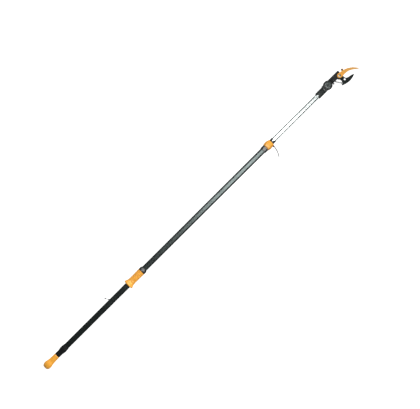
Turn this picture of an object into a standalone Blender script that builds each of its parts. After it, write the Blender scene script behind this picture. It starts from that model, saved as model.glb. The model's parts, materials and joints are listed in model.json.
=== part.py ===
"""Telescoping tree pruner on a pole: an assembly of separate pieces.

The tool lies flat. The pole runs along X with its head towards +X, the jaws open towards -Y,
and +Z is up. The origin is on the floor, under the middle of the telescope clamp.
Places along the pole are stations: distances from the butt end of the closed tool.
"""

import math

import bmesh
import bpy
from mathutils import Vector

# ---------------------------------------------------------------- driving dimensions (metres)
ORIGIN_STATION = 1.740        # station that stands over the origin
POLE_Z = 0.028                # height of the pole's axis over the floor

OUTER_TUBE_D = 0.032
OUTER_TUBE_WALL = 0.0014
OUTER_TUBE_START = 0.123
OUTER_TUBE_END = 1.760
INNER_TUBE_D = 0.025
INNER_TUBE_WALL = 0.0013
INNER_TUBE_START = 0.746
INNER_TUBE_END = 2.165

FIT = 0.0003                  # gap between pieces that seat on each other
SLIDE = 0.0004                # gap between pieces that slide on each other

KNOB_LENGTH = 0.0937
KNOB_D = 0.045
KNOB_NECK_D = 0.034
END_CAP_LENGTH = 0.072
END_CAP_WALL = 0.004          # over the tube, at the cap's widest place
CAP_SCREW_STATION = 0.150
CAP_SCREW_R = 0.0018
CORD_D = 0.003

HANDLE_START = 0.646
HANDLE_LENGTH = 0.105
HANDLE_WALL = 0.005
HANDLE_FLANGE_RISE = 0.0074
HANDLE_COLLAR_LENGTH = 0.0215
HANDLE_SCREW_D = 0.004
SHUTTLE_END = 0.735
SHUTTLE_WAIST_R = 0.0125
STOP_STATION = 0.7405
STOP_HALF_LENGTH = 0.0027
STOP_RIVET_R = 0.0014

LOCK_PIN_STATION = 0.516
LOCK_PIN_LEAN = math.radians(30)
LOCK_PIN_D = 0.0034
LOCK_PIN_REACH = 0.0242       # from the tube's skin to the ball's centre
LOCK_BALL_D = 0.0068
LOCK_TRAVEL = 0.003           # how far the pin's point is pushed into the shuttle

SLEEVE_START = 1.697
CLAMP_START = 1.722
CLAMP_END = 1.764
CLAMP_WALL = 0.008
CLAMP_EAR_STATION = 1.757
CLAMP_EAR_RISE = 0.0005       # from the clamp's outside to its bolt
CLAMP_EAR_D = 0.0106
CLAMP_BOLT_D = 0.005
COLLET_INNER_START = 1.735
COLLET_END = 1.7845
LEVER_THICKNESS = 0.0062
LEVER_HEIGHT = 0.0075

SOCKET_START = 2.122
SOCKET_END = 2.179
SOCKET_D = 0.0366
SOCKET_SCREW_STATION = 2.145
SOCKET_SCREW_R = 0.002

TILT_STATION = 2.206
TILT_Y = 0.0026
TILT_BOLT_D = 0.008
FORK_GAP = 0.0186             # clear height between the fork's cheeks
FORK_CHEEK = 0.0031
FORK_D = 0.0486
HEAD_CHEEK = 0.0035
HEAD_CHEEK_D = 0.052
TILT_KNOB_D = 0.039
TILT_KNOB_HEIGHT = 0.0095
TILT_KNOB_LOBES = 8

STRAP_WIDTH = 0.007
STRAP_THICKNESS = 0.001
STRAP_SIDE_ROOM = 0.005       # from the inner tube's bore to the strap, across and down
STRAP_DOWN_ROOM = 0.0067
STRAP_LOWER_STATION = 0.702   # end of the strap inside the shuttle

PIVOT_STATION = 2.290
PIVOT_Y = -0.005
PIVOT_BOLT_D = 0.008
BLADE_THICKNESS = 0.0035
HOOK_THICKNESS = 0.005
BLADE_CLOSING = math.radians(42)
BOSS_R = 0.014
HOOK_STUD_OFFSET = (0.033, 0.0135)        # offsets are measured from the pivot
BLADE_POST_OFFSET = (-0.0195, -0.0397)
BLADE_HOLE_OFFSET = (0.006, -0.0345)
BLADE_HOLE_R = 0.0052
HEAD_POST_OFFSET = (-0.039, -0.0095)
TANG_OFFSETS = ((-0.0375, 0.0002), (-0.005, 0.0178))

GEAR_MODULE = 0.001
PINION_TEETH = 7
SECTOR_TEETH = 48             # teeth that the blade's gear would have on a full circle
DRUM_D = 0.0232
DRUM_FLANGE_D = 0.0266
DRUM_AXLE_D = 0.004

CASING_HALF_HEIGHT = 0.014
CASING_WALL = 0.0022
CASING_BOTTOM_Y = -0.0105
CASING_NOSE = 0.013           # from the pivot to the casing's end
CASING_SCREW_OFFSETS = ((-0.049, 0.0205), (-0.0435, 0.0062), (0.004, 0.0210))
CASING_SCREW_D = 0.003

SPRING_D = 0.0066
SPRING_WIRE_D = 0.0011
SPRING_TURNS = 11
SPRING_POST_D = 0.003

# ---------------------------------------------------------------- derived dimensions
OUTER_R = OUTER_TUBE_D / 2
OUTER_BORE_R = OUTER_R - OUTER_TUBE_WALL
INNER_R = INNER_TUBE_D / 2
INNER_BORE_R = INNER_R - INNER_TUBE_WALL
OVER_TUBE_R = OUTER_R + FIT
SLIDE_ON_TUBE_R = OUTER_R + SLIDE

END_CAP_START = KNOB_LENGTH + FIT
END_CAP_D = OUTER_TUBE_D + 2 * END_CAP_WALL
HANDLE_D = OUTER_TUBE_D + 2 * HANDLE_WALL
HANDLE_FLANGE_D = HANDLE_D + 2 * HANDLE_FLANGE_RISE
CLAMP_D = OUTER_TUBE_D + 2 * CLAMP_WALL
CLAMP_EAR_Y = -CLAMP_D / 2 - CLAMP_EAR_RISE
HANDLE_END = HANDLE_START + HANDLE_LENGTH

def from_pivot(*places):
    """Places measured from the jaws' pivot, as station and Y."""
    return [(PIVOT_STATION + along, PIVOT_Y + across) for along, across in places]


PIVOT = (PIVOT_STATION, PIVOT_Y)
TILT = (TILT_STATION, TILT_Y)
HOOK_STUD, BLADE_POST, HEAD_POST, BLADE_HOLE = from_pivot(HOOK_STUD_OFFSET, BLADE_POST_OFFSET,
                                                          HEAD_POST_OFFSET, BLADE_HOLE_OFFSET)
TANG_STATIONS, TANG_YS = zip(*from_pivot(*TANG_OFFSETS))
CASING_SCREWS = from_pivot(*CASING_SCREW_OFFSETS)
CASING_END = PIVOT_STATION + CASING_NOSE
GEAR_RATIO = SECTOR_TEETH / PINION_TEETH
PINION_R = GEAR_MODULE * PINION_TEETH / 2
SECTOR_R = GEAR_MODULE * SECTOR_TEETH / 2
TOOTH_TIP = 0.75 * GEAR_MODULE
TOOTH_ROOT = 1.05 * GEAR_MODULE

STRAP_ON_DRUM_R = DRUM_D / 2 + FIT + STRAP_THICKNESS / 2
STRAP_Y = STRAP_SIDE_ROOM - INNER_BORE_R    # it passes the guide pulley on its jaw side
GUIDE_PULLEY_R = TILT_Y - STRAP_Y - STRAP_THICKNESS / 2 - FIT
DRUM_Y = STRAP_Y + STRAP_ON_DRUM_R
DRUM_STATION = PIVOT_STATION - math.sqrt((PINION_R + SECTOR_R) ** 2 - (DRUM_Y - PIVOT_Y) ** 2)
DRUM = (DRUM_STATION, DRUM_Y)
CASING_TOP_Y = DRUM_Y + DRUM_FLANGE_D / 2 + CASING_WALL + FIT
STROKE = STRAP_ON_DRUM_R * GEAR_RATIO * BLADE_CLOSING

STRAP_Z = STRAP_DOWN_ROOM - INNER_BORE_R
STRAP_LOW = STRAP_Z - STRAP_WIDTH / 2
STRAP_HIGH = STRAP_Z + STRAP_WIDTH / 2
STRAP_PASSAGE_R = math.hypot(STRAP_LOW, STRAP_Y - STRAP_THICKNESS / 2) + FIT
DRUM_LOW = STRAP_LOW - 0.0014
DRUM_HIGH = STRAP_HIGH + 0.0012
BLADE_LOW = DRUM_HIGH + 0.0005
BLADE_HIGH = BLADE_LOW + BLADE_THICKNESS
HOOK_LOW = BLADE_HIGH + FIT
HOOK_HIGH = HOOK_LOW + HOOK_THICKNESS
BOSS_HIGH = HOOK_HIGH + 0.003
CASING_SPLIT = BLADE_HIGH + FIT / 2
SPRING_LOW = BLADE_HIGH + 0.0004
SPRING_EAR_LOW = SPRING_LOW + SPRING_D + 0.0006

FORK_HIGH = FORK_GAP / 2 + FORK_CHEEK
HEAD_CHEEK_LOW = FORK_HIGH + FIT
HEAD_CHEEK_HIGH = HEAD_CHEEK_LOW + HEAD_CHEEK

TURN_STEPS = 32
SMALL_STEPS = 16

ORANGE = (0.93, 0.36, 0.05)
BLACK = (0.016, 0.018, 0.019)
DARK_GREY = (0.06, 0.066, 0.068)


# ---------------------------------------------------------------- scene helpers
def clear_scene():
    for old in list(bpy.data.objects):
        bpy.data.objects.remove(old, do_unlink=True)


def new_collection(name):
    collection = bpy.data.collections.new(name)
    bpy.context.scene.collection.children.link(collection)
    return collection


def x_at(station):
    """World X of a station along the pole."""
    return station - ORIGIN_STATION


def material(name, colour, roughness, metallic):
    made = bpy.data.materials.new(name)
    made.use_nodes = True
    shader = made.node_tree.nodes["Principled BSDF"]
    shader.inputs["Base Color"].default_value = (*colour, 1.0)
    shader.inputs["Roughness"].default_value = roughness
    shader.inputs["Metallic"].default_value = metallic
    made.diffuse_color = (*colour, 1.0)
    return made


def add_piece(name, mesh, looks):
    """Put a mesh in the part's collection with a material of its own."""
    piece = bpy.data.objects.new(name, mesh)
    PARTS.objects.link(piece)
    colour, roughness, metallic = looks
    mesh.materials.append(material(name + "_material", colour, roughness, metallic))
    return piece


def as_cutter(piece):
    """Move a solid to the cutters: it shapes its neighbours and is not itself a piece."""
    for collection in list(piece.users_collection):
        collection.objects.unlink(piece)
    CUTTERS.objects.link(piece)
    piece.hide_render = True
    piece.display_type = "WIRE"
    return piece


def combine(piece, tool, operation, solver="EXACT"):
    """Boolean of one solid with another, which becomes a cutter."""
    as_cutter(tool)
    modifier = piece.modifiers.new(operation.lower(), "BOOLEAN")
    modifier.operation = operation
    modifier.solver = solver
    modifier.object = tool
    return piece


def cut(piece, *tools, solver="EXACT"):
    for tool in tools:
        combine(piece, tool, "DIFFERENCE", solver)
    return piece


def join(piece, *tools):
    for tool in tools:
        combine(piece, tool, "UNION")
    return piece


def smooth_shading(mesh):
    mesh.shade_smooth()
    mesh.set_sharp_from_angle(angle=math.radians(35))


# ---------------------------------------------------------------- solids
PLAIN = (DARK_GREY, 0.5, 0.0)


def turned(name, profile, looks=PLAIN, closed=False, steps=TURN_STEPS):
    """Solid of revolution about local Z: (radius, height) pairs down the outer side.

    A closed profile is a ring: it goes on up the bore and back to its first point.
    """
    mesh = bpy.data.meshes.new(name)
    edges = [(i, i + 1) for i in range(len(profile) - 1)]
    if closed:
        edges.append((len(profile) - 1, 0))
    mesh.from_pydata([(radius, 0.0, height) for radius, height in profile], edges, [])
    piece = add_piece(name, mesh, looks)
    screw = piece.modifiers.new("turn", "SCREW")
    screw.axis = "Z"
    screw.steps = steps
    screw.render_steps = steps
    screw.use_merge_vertices = True
    screw.merge_threshold = 0.00001
    screw.use_smooth_shade = True
    return piece


def along_pole(piece, station=0.0, y=0.0):
    """Turn a piece made about Z so that it lies along the pole, height becoming station."""
    piece.rotation_euler = (0.0, math.pi / 2, 0.0)
    piece.location = (x_at(station), y, POLE_Z)
    return piece


def pole_ring(name, outside, bore_r, looks=PLAIN, steps=TURN_STEPS):
    """Ring about the pole: outside is (station, radius) from the butt end on, bore is plain."""
    first, last = outside[0][0], outside[-1][0]
    profile = [(radius, station) for station, radius in reversed(outside)]
    profile += [(bore_r, first), (bore_r, last)]
    return along_pole(turned(name, profile, looks, closed=True, steps=steps))


def pole_rod(name, outside, looks=PLAIN, steps=TURN_STEPS, y=0.0):
    """Solid round piece along the pole, closed on its axis at both ends."""
    profile = [(0.0, outside[-1][0])]
    profile += [(radius, station) for station, radius in reversed(outside)]
    profile += [(0.0, outside[0][0])]
    return along_pole(turned(name, profile, looks, steps=steps), y=y)


def upright(name, station, y, levels, looks=PLAIN, steps=SMALL_STEPS):
    """Round solid about a vertical line: levels are (height over the pole's axis, radius)."""
    base = levels[0][0]
    profile = [(0.0, levels[-1][0] - base)]
    profile += [(radius, level - base) for level, radius in reversed(levels)]
    profile += [(0.0, 0.0)]
    piece = turned(name, profile, looks, steps=steps)
    piece.location = (x_at(station), y, POLE_Z + base)
    return piece


def upright_ring(name, station, y, levels, bore_r, looks=PLAIN, steps=SMALL_STEPS):
    base, top = levels[0][0], levels[-1][0]
    profile = [(radius, level - base) for level, radius in reversed(levels)]
    profile += [(bore_r, 0.0), (bore_r, top - base)]
    piece = turned(name, profile, looks, closed=True, steps=steps)
    piece.location = (x_at(station), y, POLE_Z + base)
    return piece


def rod_between(name, start, end, radius, looks=PLAIN, steps=SMALL_STEPS):
    """Cylinder between two points given as (station, y, height over the pole's axis)."""
    a = Vector((x_at(start[0]), start[1], POLE_Z + start[2]))
    b = Vector((x_at(end[0]), end[1], POLE_Z + end[2]))
    piece = turned(name, [(0.0, (b - a).length), (radius, (b - a).length), (radius, 0.0),
                          (0.0, 0.0)], looks, steps=steps)
    piece.rotation_euler = (b - a).to_track_quat("Z", "Y").to_euler()
    piece.location = a
    return piece


def block(name, stations, ys, levels, looks=PLAIN, round_by=0.0):
    """Box between two stations, two Y values and two heights over the pole's axis."""
    mesh = bpy.data.meshes.new(name)
    shape = bmesh.new()
    bmesh.ops.create_cube(shape, size=1.0)
    size = Vector((stations[1] - stations[0], ys[1] - ys[0], levels[1] - levels[0]))
    bmesh.ops.scale(shape, vec=size, verts=shape.verts)
    shape.to_mesh(mesh)
    shape.free()
    piece = add_piece(name, mesh, looks)
    piece.location = (x_at(sum(stations) / 2), sum(ys) / 2, POLE_Z + sum(levels) / 2)
    if round_by:
        bevel = piece.modifiers.new("round", "BEVEL")
        bevel.width = round_by
        bevel.segments = 2
    return piece


def plate(name, outline, levels, looks=PLAIN, holes=(), centre=(0.0, 0.0)):
    """Flat piece: an outline and round holes (station, y, radius), between two heights.

    Its origin is at centre, a (station, y) pair, so that a moving plate turns about it.
    """
    curve = bpy.data.curves.new(name, "CURVE")
    curve.dimensions = "2D"
    curve.fill_mode = "BOTH"
    curve.extrude = (levels[1] - levels[0]) / 2
    loops = [outline]
    loops += [arc((s, y), r, 0.0, 360.0, SMALL_STEPS)[:-1] for s, y, r in holes]
    for loop in loops:
        spline = curve.splines.new("POLY")
        spline.points.add(len(loop) - 1)
        for point, (station, y) in zip(spline.points, loop):
            point.co = (station - centre[0], y - centre[1], 0.0, 1.0)
        spline.use_cyclic_u = True
    guide = bpy.data.objects.new(name + "_outline", curve)
    CUTTERS.objects.link(guide)
    mesh = bpy.data.meshes.new_from_object(guide.evaluated_get(bpy.context.evaluated_depsgraph_get()))
    bpy.data.objects.remove(guide, do_unlink=True)
    mesh.name = name
    mesh.materials.clear()
    shape = bmesh.new()
    shape.from_mesh(mesh)
    bmesh.ops.remove_doubles(shape, verts=shape.verts, dist=0.00001)
    bmesh.ops.recalc_face_normals(shape, faces=shape.faces)
    shape.to_mesh(mesh)
    shape.free()
    piece = add_piece(name, mesh, looks)
    piece.location = (x_at(centre[0]), centre[1], POLE_Z + sum(levels) / 2)
    return piece


def hexagon(name, station, y, levels, across_flats, looks=PLAIN, hole_r=0.0):
    corner_r = across_flats / math.sqrt(3)
    outline = arc((station, y), corner_r, 0.0, 360.0, 6)[:-1]
    holes = [(station, y, hole_r)] if hole_r else []
    return plate(name, outline, levels, looks, holes, centre=(station, y))


# ---------------------------------------------------------------- outlines
def arc(centre, radius, start_deg, end_deg, steps):
    """Points of an arc about a (station, y) centre, both ends included."""
    angles = [math.radians(start_deg + (end_deg - start_deg) * i / steps) for i in range(steps + 1)]
    return [(centre[0] + radius * math.cos(a), centre[1] + radius * math.sin(a)) for a in angles]


def smooth(points, per_span=4):
    """Smooth curve through points, as a Catmull-Rom spline that ends at the outer two."""
    run = [points[0]] + list(points) + [points[-1]]
    made = []
    for i in range(1, len(run) - 2):
        p0, p1, p2, p3 = (Vector(p) for p in run[i - 1:i + 3])
        for k in range(per_span):
            t = k / per_span
            made.append(tuple(0.5 * (2 * p1 + (p2 - p0) * t + (2 * p0 - 5 * p1 + 4 * p2 - p3) * t * t
                                     + (3 * p1 - p0 - 3 * p2 + p3) * t ** 3)))
    made.append(tuple(points[-1]))
    return made


def teeth(centre, pitch_r, count, first_deg, number, thick=0.40, tip_share=0.45):
    """Outline of a run of gear teeth, anticlockwise; first_deg is the first tooth's middle.

    thick is a tooth's share of the pitch at the pitch circle, and tip_share of that is its tip.
    """
    pitch = 360.0 / count
    points = []
    for k in range(number):
        middle = first_deg + k * pitch
        for offset, radius in ((-0.62 * thick, pitch_r - TOOTH_ROOT),
                               (-0.5 * thick, pitch_r),
                               (-0.5 * thick * tip_share, pitch_r + TOOTH_TIP),
                               (0.5 * thick * tip_share, pitch_r + TOOTH_TIP),
                               (0.5 * thick, pitch_r),
                               (0.62 * thick, pitch_r - TOOTH_ROOT)):
            points += arc(centre, radius, middle + offset * pitch, 0.0, 1)[:1]
    return points


# ---------------------------------------------------------------- looks of the pieces
ORANGE_PLASTIC = (ORANGE, 0.4, 0.0)
ORANGE_STEEL = ((0.9, 0.42, 0.1), 0.35, 0.0)
BLACK_PLASTIC = (BLACK, 0.5, 0.0)
GREY_PLASTIC = (DARK_GREY, 0.45, 0.0)
BLACK_TUBE = ((0.04, 0.045, 0.045), 0.3, 0.8)
SILVER_TUBE = ((0.8, 0.82, 0.82), 0.28, 1.0)
BLACK_STEEL = ((0.03, 0.034, 0.036), 0.35, 0.6)
STEEL = ((0.55, 0.56, 0.56), 0.35, 1.0)
WEBBING = ((0.1, 0.1, 0.1), 0.8, 0.0)


# ---------------------------------------------------------------- pole and butt end
def make_outer_tube():
    tube = pole_ring("outer_tube", [(OUTER_TUBE_START, OUTER_R), (OUTER_TUBE_END, OUTER_R)],
                     OUTER_BORE_R, BLACK_TUBE)
    slot_half = HANDLE_SCREW_D / 2 + SLIDE
    first, last = handle_screw_stations()
    slot = block("handle_slot", (first - STROKE - 0.004, last + 0.004), (-slot_half, slot_half),
                 (-OUTER_R - 0.002, -OUTER_BORE_R + 0.004))
    pin_hole = rod_between("pin_hole", lock_pin_point(-0.006), lock_pin_point(0.004),
                           LOCK_PIN_D / 2 + SLIDE)
    rivet_hole = rod_between("stop_rivet_hole", (STOP_STATION, OUTER_BORE_R - 0.003, 0.0),
                             (STOP_STATION, OUTER_R + 0.003, 0.0), STOP_RIVET_R + FIT)
    cap_hole = rod_between("cap_screw_hole", (CAP_SCREW_STATION, 0.0, -OUTER_R - 0.003),
                           (CAP_SCREW_STATION, 0.0, -OUTER_BORE_R + 0.003), CAP_SCREW_R + FIT)
    cut(tube, slot, pin_hole, rivet_hole, cap_hole)


def lock_pin_point(outwards):
    """Point on the lock pin's axis, a distance outside the tube's skin along the pin."""
    return (LOCK_PIN_STATION - outwards * math.sin(LOCK_PIN_LEAN),
            OUTER_R + outwards * math.cos(LOCK_PIN_LEAN), 0.0)


def handle_screw_stations():
    middle = HANDLE_START + HANDLE_LENGTH / 2 + 0.004
    return middle - 0.016, middle + 0.016


def make_end_cap():
    """Grip cone over the tube's end, with eight flats at its widest place."""
    start, end, radius = END_CAP_START, END_CAP_START + END_CAP_LENGTH, END_CAP_D / 2
    cap = pole_rod("end_cap", [(start, OUTER_R - 0.001), (start + 0.001, OUTER_R),
                               (start + 0.026, OUTER_R), (start + 0.038, OUTER_R + 0.002),
                               (start + 0.047, radius), (start + 0.053, radius),
                               (start + 0.064, OUTER_R + 0.0022),
                               (end, OUTER_R + 0.0016)], BLACK_PLASTIC)
    flats = plate("end_cap_flats", arc((0.0, 0.0), radius * 1.045, 22.5, 382.5, 8)[:-1],
                  (-0.06, 0.06))
    flats.rotation_euler = (0.0, math.pi / 2, 0.0)
    flats.location = (x_at((start + end) / 2), 0.0, POLE_Z)
    combine(cap, flats, "INTERSECT")
    seat = pole_rod("end_cap_seat", [(OUTER_TUBE_START - FIT, OVER_TUBE_R),
                                     (end + 0.005, OVER_TUBE_R)])
    bore = pole_rod("end_cap_bore", [(start - 0.005, CORD_D / 2 + SLIDE),
                                     (OUTER_TUBE_START + 0.005, CORD_D / 2 + SLIDE)])
    screw_hole = rod_between("end_cap_screw_hole", (CAP_SCREW_STATION, 0.0, -END_CAP_D),
                             (CAP_SCREW_STATION, 0.0, -0.012), CAP_SCREW_R + FIT)
    cut(cap, seat, bore, screw_hole)
    rod_between("end_cap_screw", (CAP_SCREW_STATION, 0.0, -OUTER_BORE_R + 0.0004),
                (CAP_SCREW_STATION, 0.0, -END_CAP_D / 2 + 0.0008), CAP_SCREW_R, STEEL)


def make_end_knob():
    """Pull knob with a swollen end, drilled through for the pull cord and its ferrule."""
    radius, neck = KNOB_D / 2, KNOB_NECK_D / 2
    outside = [(0.0, 0.009)] + smooth([(0.0015, 0.0130), (0.006, 0.0178), (0.013, radius - 0.001),
                                       (0.024, radius), (0.036, radius - 0.0020),
                                       (0.050, neck + 0.0008), (0.066, neck),
                                       (0.084, neck - 0.0002)], 2)
    outside += [(KNOB_LENGTH - 0.004, neck - 0.0014), (KNOB_LENGTH, neck - 0.0040)]
    knob = pole_rod("end_knob", outside, ORANGE_PLASTIC)
    ferrule_end = 0.030
    bore = pole_rod("knob_bore", [(ferrule_end - 0.002, CORD_D / 2 + FIT),
                                  (KNOB_LENGTH + 0.005, CORD_D / 2 + FIT)])
    pocket = pole_rod("knob_pocket", [(-0.005, 0.0045), (ferrule_end, 0.0045)])
    cut(knob, bore, pocket)
    pole_ring("cord_ferrule", [(ferrule_end - 0.0113, 0.0041), (ferrule_end - FIT, 0.0041)],
              CORD_D / 2 + FIT, STEEL, steps=SMALL_STEPS)
    pole_rod("pull_cord", [(ferrule_end - 0.013, CORD_D / 2), (shuttle_start() + 0.016, CORD_D / 2)],
             WEBBING, steps=10)


# ---------------------------------------------------------------- slide handle
def shuttle_start():
    """Butt end of the shuttle: its catch reaches the lock pin at the end of the stroke."""
    return LOCK_PIN_STATION + STROKE - 0.010


def make_slide_handle():
    start, end = HANDLE_START, HANDLE_END
    radius, rim = HANDLE_D / 2, HANDLE_FLANGE_D / 2
    bell = smooth([(start + 0.0022, rim), (start + 0.008, rim - 0.0008), (start + 0.015, rim - 0.0035),
                   (start + 0.024, radius + 0.0008), (start + 0.040, radius - 0.0002),
                   (start + 0.060, radius - 0.0005), (start + 0.082, radius),
                   (end - 0.006, radius + 0.0006)], 2)
    handle = pole_ring("slide_handle", [(start, rim - 0.003), (start + 0.0007, rim - 0.001)] + bell
                       + [(end, radius - 0.001)], SLIDE_ON_TUBE_R, ORANGE_PLASTIC)
    rest = block("handle_rest_cut", (start - 0.01, start + 0.03), (-0.03, 0.03),
                 (-POLE_Z - 0.02, -POLE_Z))
    cut(handle, rest)
    for name, station in zip(("handle_screw_rear", "handle_screw_front"), handle_screw_stations()):
        head_r, shank_r, seat = HANDLE_SCREW_D, HANDLE_SCREW_D / 2, -radius + 0.0022
        hole = upright(name + "_hole", station, 0.0, [(-radius - 0.01, head_r + FIT),
                                                      (seat, head_r + FIT), (seat, shank_r + FIT),
                                                      (-0.010, shank_r + FIT)])
        cut(handle, hole)
        upright(name, station, 0.0, [(-radius + 0.0004, head_r), (seat - FIT, head_r),
                                     (seat - FIT, shank_r), (-SHUTTLE_WAIST_R + 0.0022, shank_r)],
                STEEL)


def make_handle_collar():
    """Wiper collar on the handle's head end, held by one screw."""
    start, end = HANDLE_END + FIT, HANDLE_END + FIT + HANDLE_COLLAR_LENGTH
    radius = HANDLE_D / 2 + 0.0006
    collar = pole_ring("handle_collar", [(start, radius - 0.0008), (start + 0.0008, radius),
                                         (start + 0.0125, radius), (start + 0.017, radius - 0.0016),
                                         (end, OUTER_R + 0.0024)], SLIDE_ON_TUBE_R, BLACK_PLASTIC)
    station = start + 0.0095
    hole = upright("collar_screw_hole", station, 0.0, [(OUTER_R + 0.0014, 0.0042), (0.030, 0.0042)])
    cut(collar, hole)
    upright("collar_screw", station, 0.0, [(OUTER_R + 0.0017, 0.0030), (OUTER_R + 0.0017, 0.0039),
                                           (radius - 0.0002, 0.0039), (radius + 0.0004, 0.0030)], STEEL)


def make_shuttle():
    """Nylon slide inside the tube that ties handle, strap and pull cord together."""
    start, guide_r = shuttle_start(), OUTER_BORE_R - SLIDE
    shuttle = pole_rod("shuttle", [(start, guide_r - 0.001), (start + 0.001, guide_r),
                                   (start + 0.022, guide_r), (start + 0.026, 0.009),
                                   (HANDLE_START, 0.009), (HANDLE_START + 0.006, SHUTTLE_WAIST_R),
                                   (SHUTTLE_END - 0.012, SHUTTLE_WAIST_R),
                                   (SHUTTLE_END - 0.010, guide_r), (SHUTTLE_END, guide_r)],
                       GREY_PLASTIC)
    slit_half = STRAP_THICKNESS / 2 + SLIDE
    slit = block("strap_slit", (STRAP_LOWER_STATION - 0.001, SHUTTLE_END + 0.005),
                 (STRAP_Y - slit_half, STRAP_Y + slit_half), (STRAP_LOW - SLIDE, STRAP_HIGH + SLIDE))
    cord_hole = pole_rod("cord_hole", [(start - 0.005, CORD_D / 2 + FIT),
                                       (start + 0.016 + FIT, CORD_D / 2 + FIT)])
    deep = lock_pin_point(-LOCK_TRAVEL - OUTER_TUBE_WALL - 0.0015)
    clear = lock_pin_point(0.004)
    catch = rod_between("catch_hole", (deep[0] + STROKE, *deep[1:]), (clear[0] + STROKE, *clear[1:]),
                        LOCK_PIN_D / 2 + 0.0008)
    cut(shuttle, slit, cord_hole, catch)
    for station in handle_screw_stations():
        hole = upright("shuttle_screw_hole_%d" % (1000 * station), station, 0.0,
                       [(-0.020, HANDLE_SCREW_D / 2 + FIT),
                        (-SHUTTLE_WAIST_R + 0.0026, HANDLE_SCREW_D / 2 + FIT)])
        cut(shuttle, hole)


def make_stop_bush():
    half = STOP_HALF_LENGTH
    bush = pole_ring("stop_bush", [(STOP_STATION - half, OUTER_BORE_R - FIT),
                                   (STOP_STATION + half, OUTER_BORE_R - FIT)], STRAP_PASSAGE_R,
                     GREY_PLASTIC)
    hole = rod_between("stop_bush_hole", (STOP_STATION, 0.008, 0.0),
                       (STOP_STATION, 0.020, 0.0), STOP_RIVET_R + FIT)
    cut(bush, hole)
    rod_between("stop_rivet", (STOP_STATION, 0.0108, 0.0), (STOP_STATION, OUTER_R - 0.0001, 0.0),
                STOP_RIVET_R, STEEL)


def make_lock_pin():
    """Push pin with a ball: it catches the pulled-down shuttle and keeps the jaws shut."""
    tip = lock_pin_point(-OUTER_TUBE_WALL)
    ball_centre = lock_pin_point(LOCK_PIN_REACH)
    stem = rod_between("lock_pin", tip, ball_centre, LOCK_PIN_D / 2, BLACK_STEEL)
    ball_mesh = bpy.data.meshes.new("lock_pin_ball")
    shape = bmesh.new()
    bmesh.ops.create_uvsphere(shape, u_segments=16, v_segments=10, radius=LOCK_BALL_D / 2)
    shape.to_mesh(ball_mesh)
    shape.free()
    ball = add_piece("lock_pin_ball", ball_mesh, PLAIN)
    ball.location = (x_at(ball_centre[0]), ball_centre[1], POLE_Z)
    join(stem, ball)
    outer_r = LOCK_PIN_D / 2 + 0.0016
    bush = rod_between("lock_pin_bush", lock_pin_point(-0.002), lock_pin_point(0.0045), outer_r,
                       BLACK_PLASTIC)
    bore = rod_between("lock_pin_bore", lock_pin_point(-0.008), lock_pin_point(0.010),
                       LOCK_PIN_D / 2 + SLIDE)
    tube_seat = pole_rod("lock_bush_seat", [(LOCK_PIN_STATION - 0.03, OVER_TUBE_R),
                                            (LOCK_PIN_STATION + 0.03, OVER_TUBE_R)])
    cut(bush, tube_seat, bore)


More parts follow.
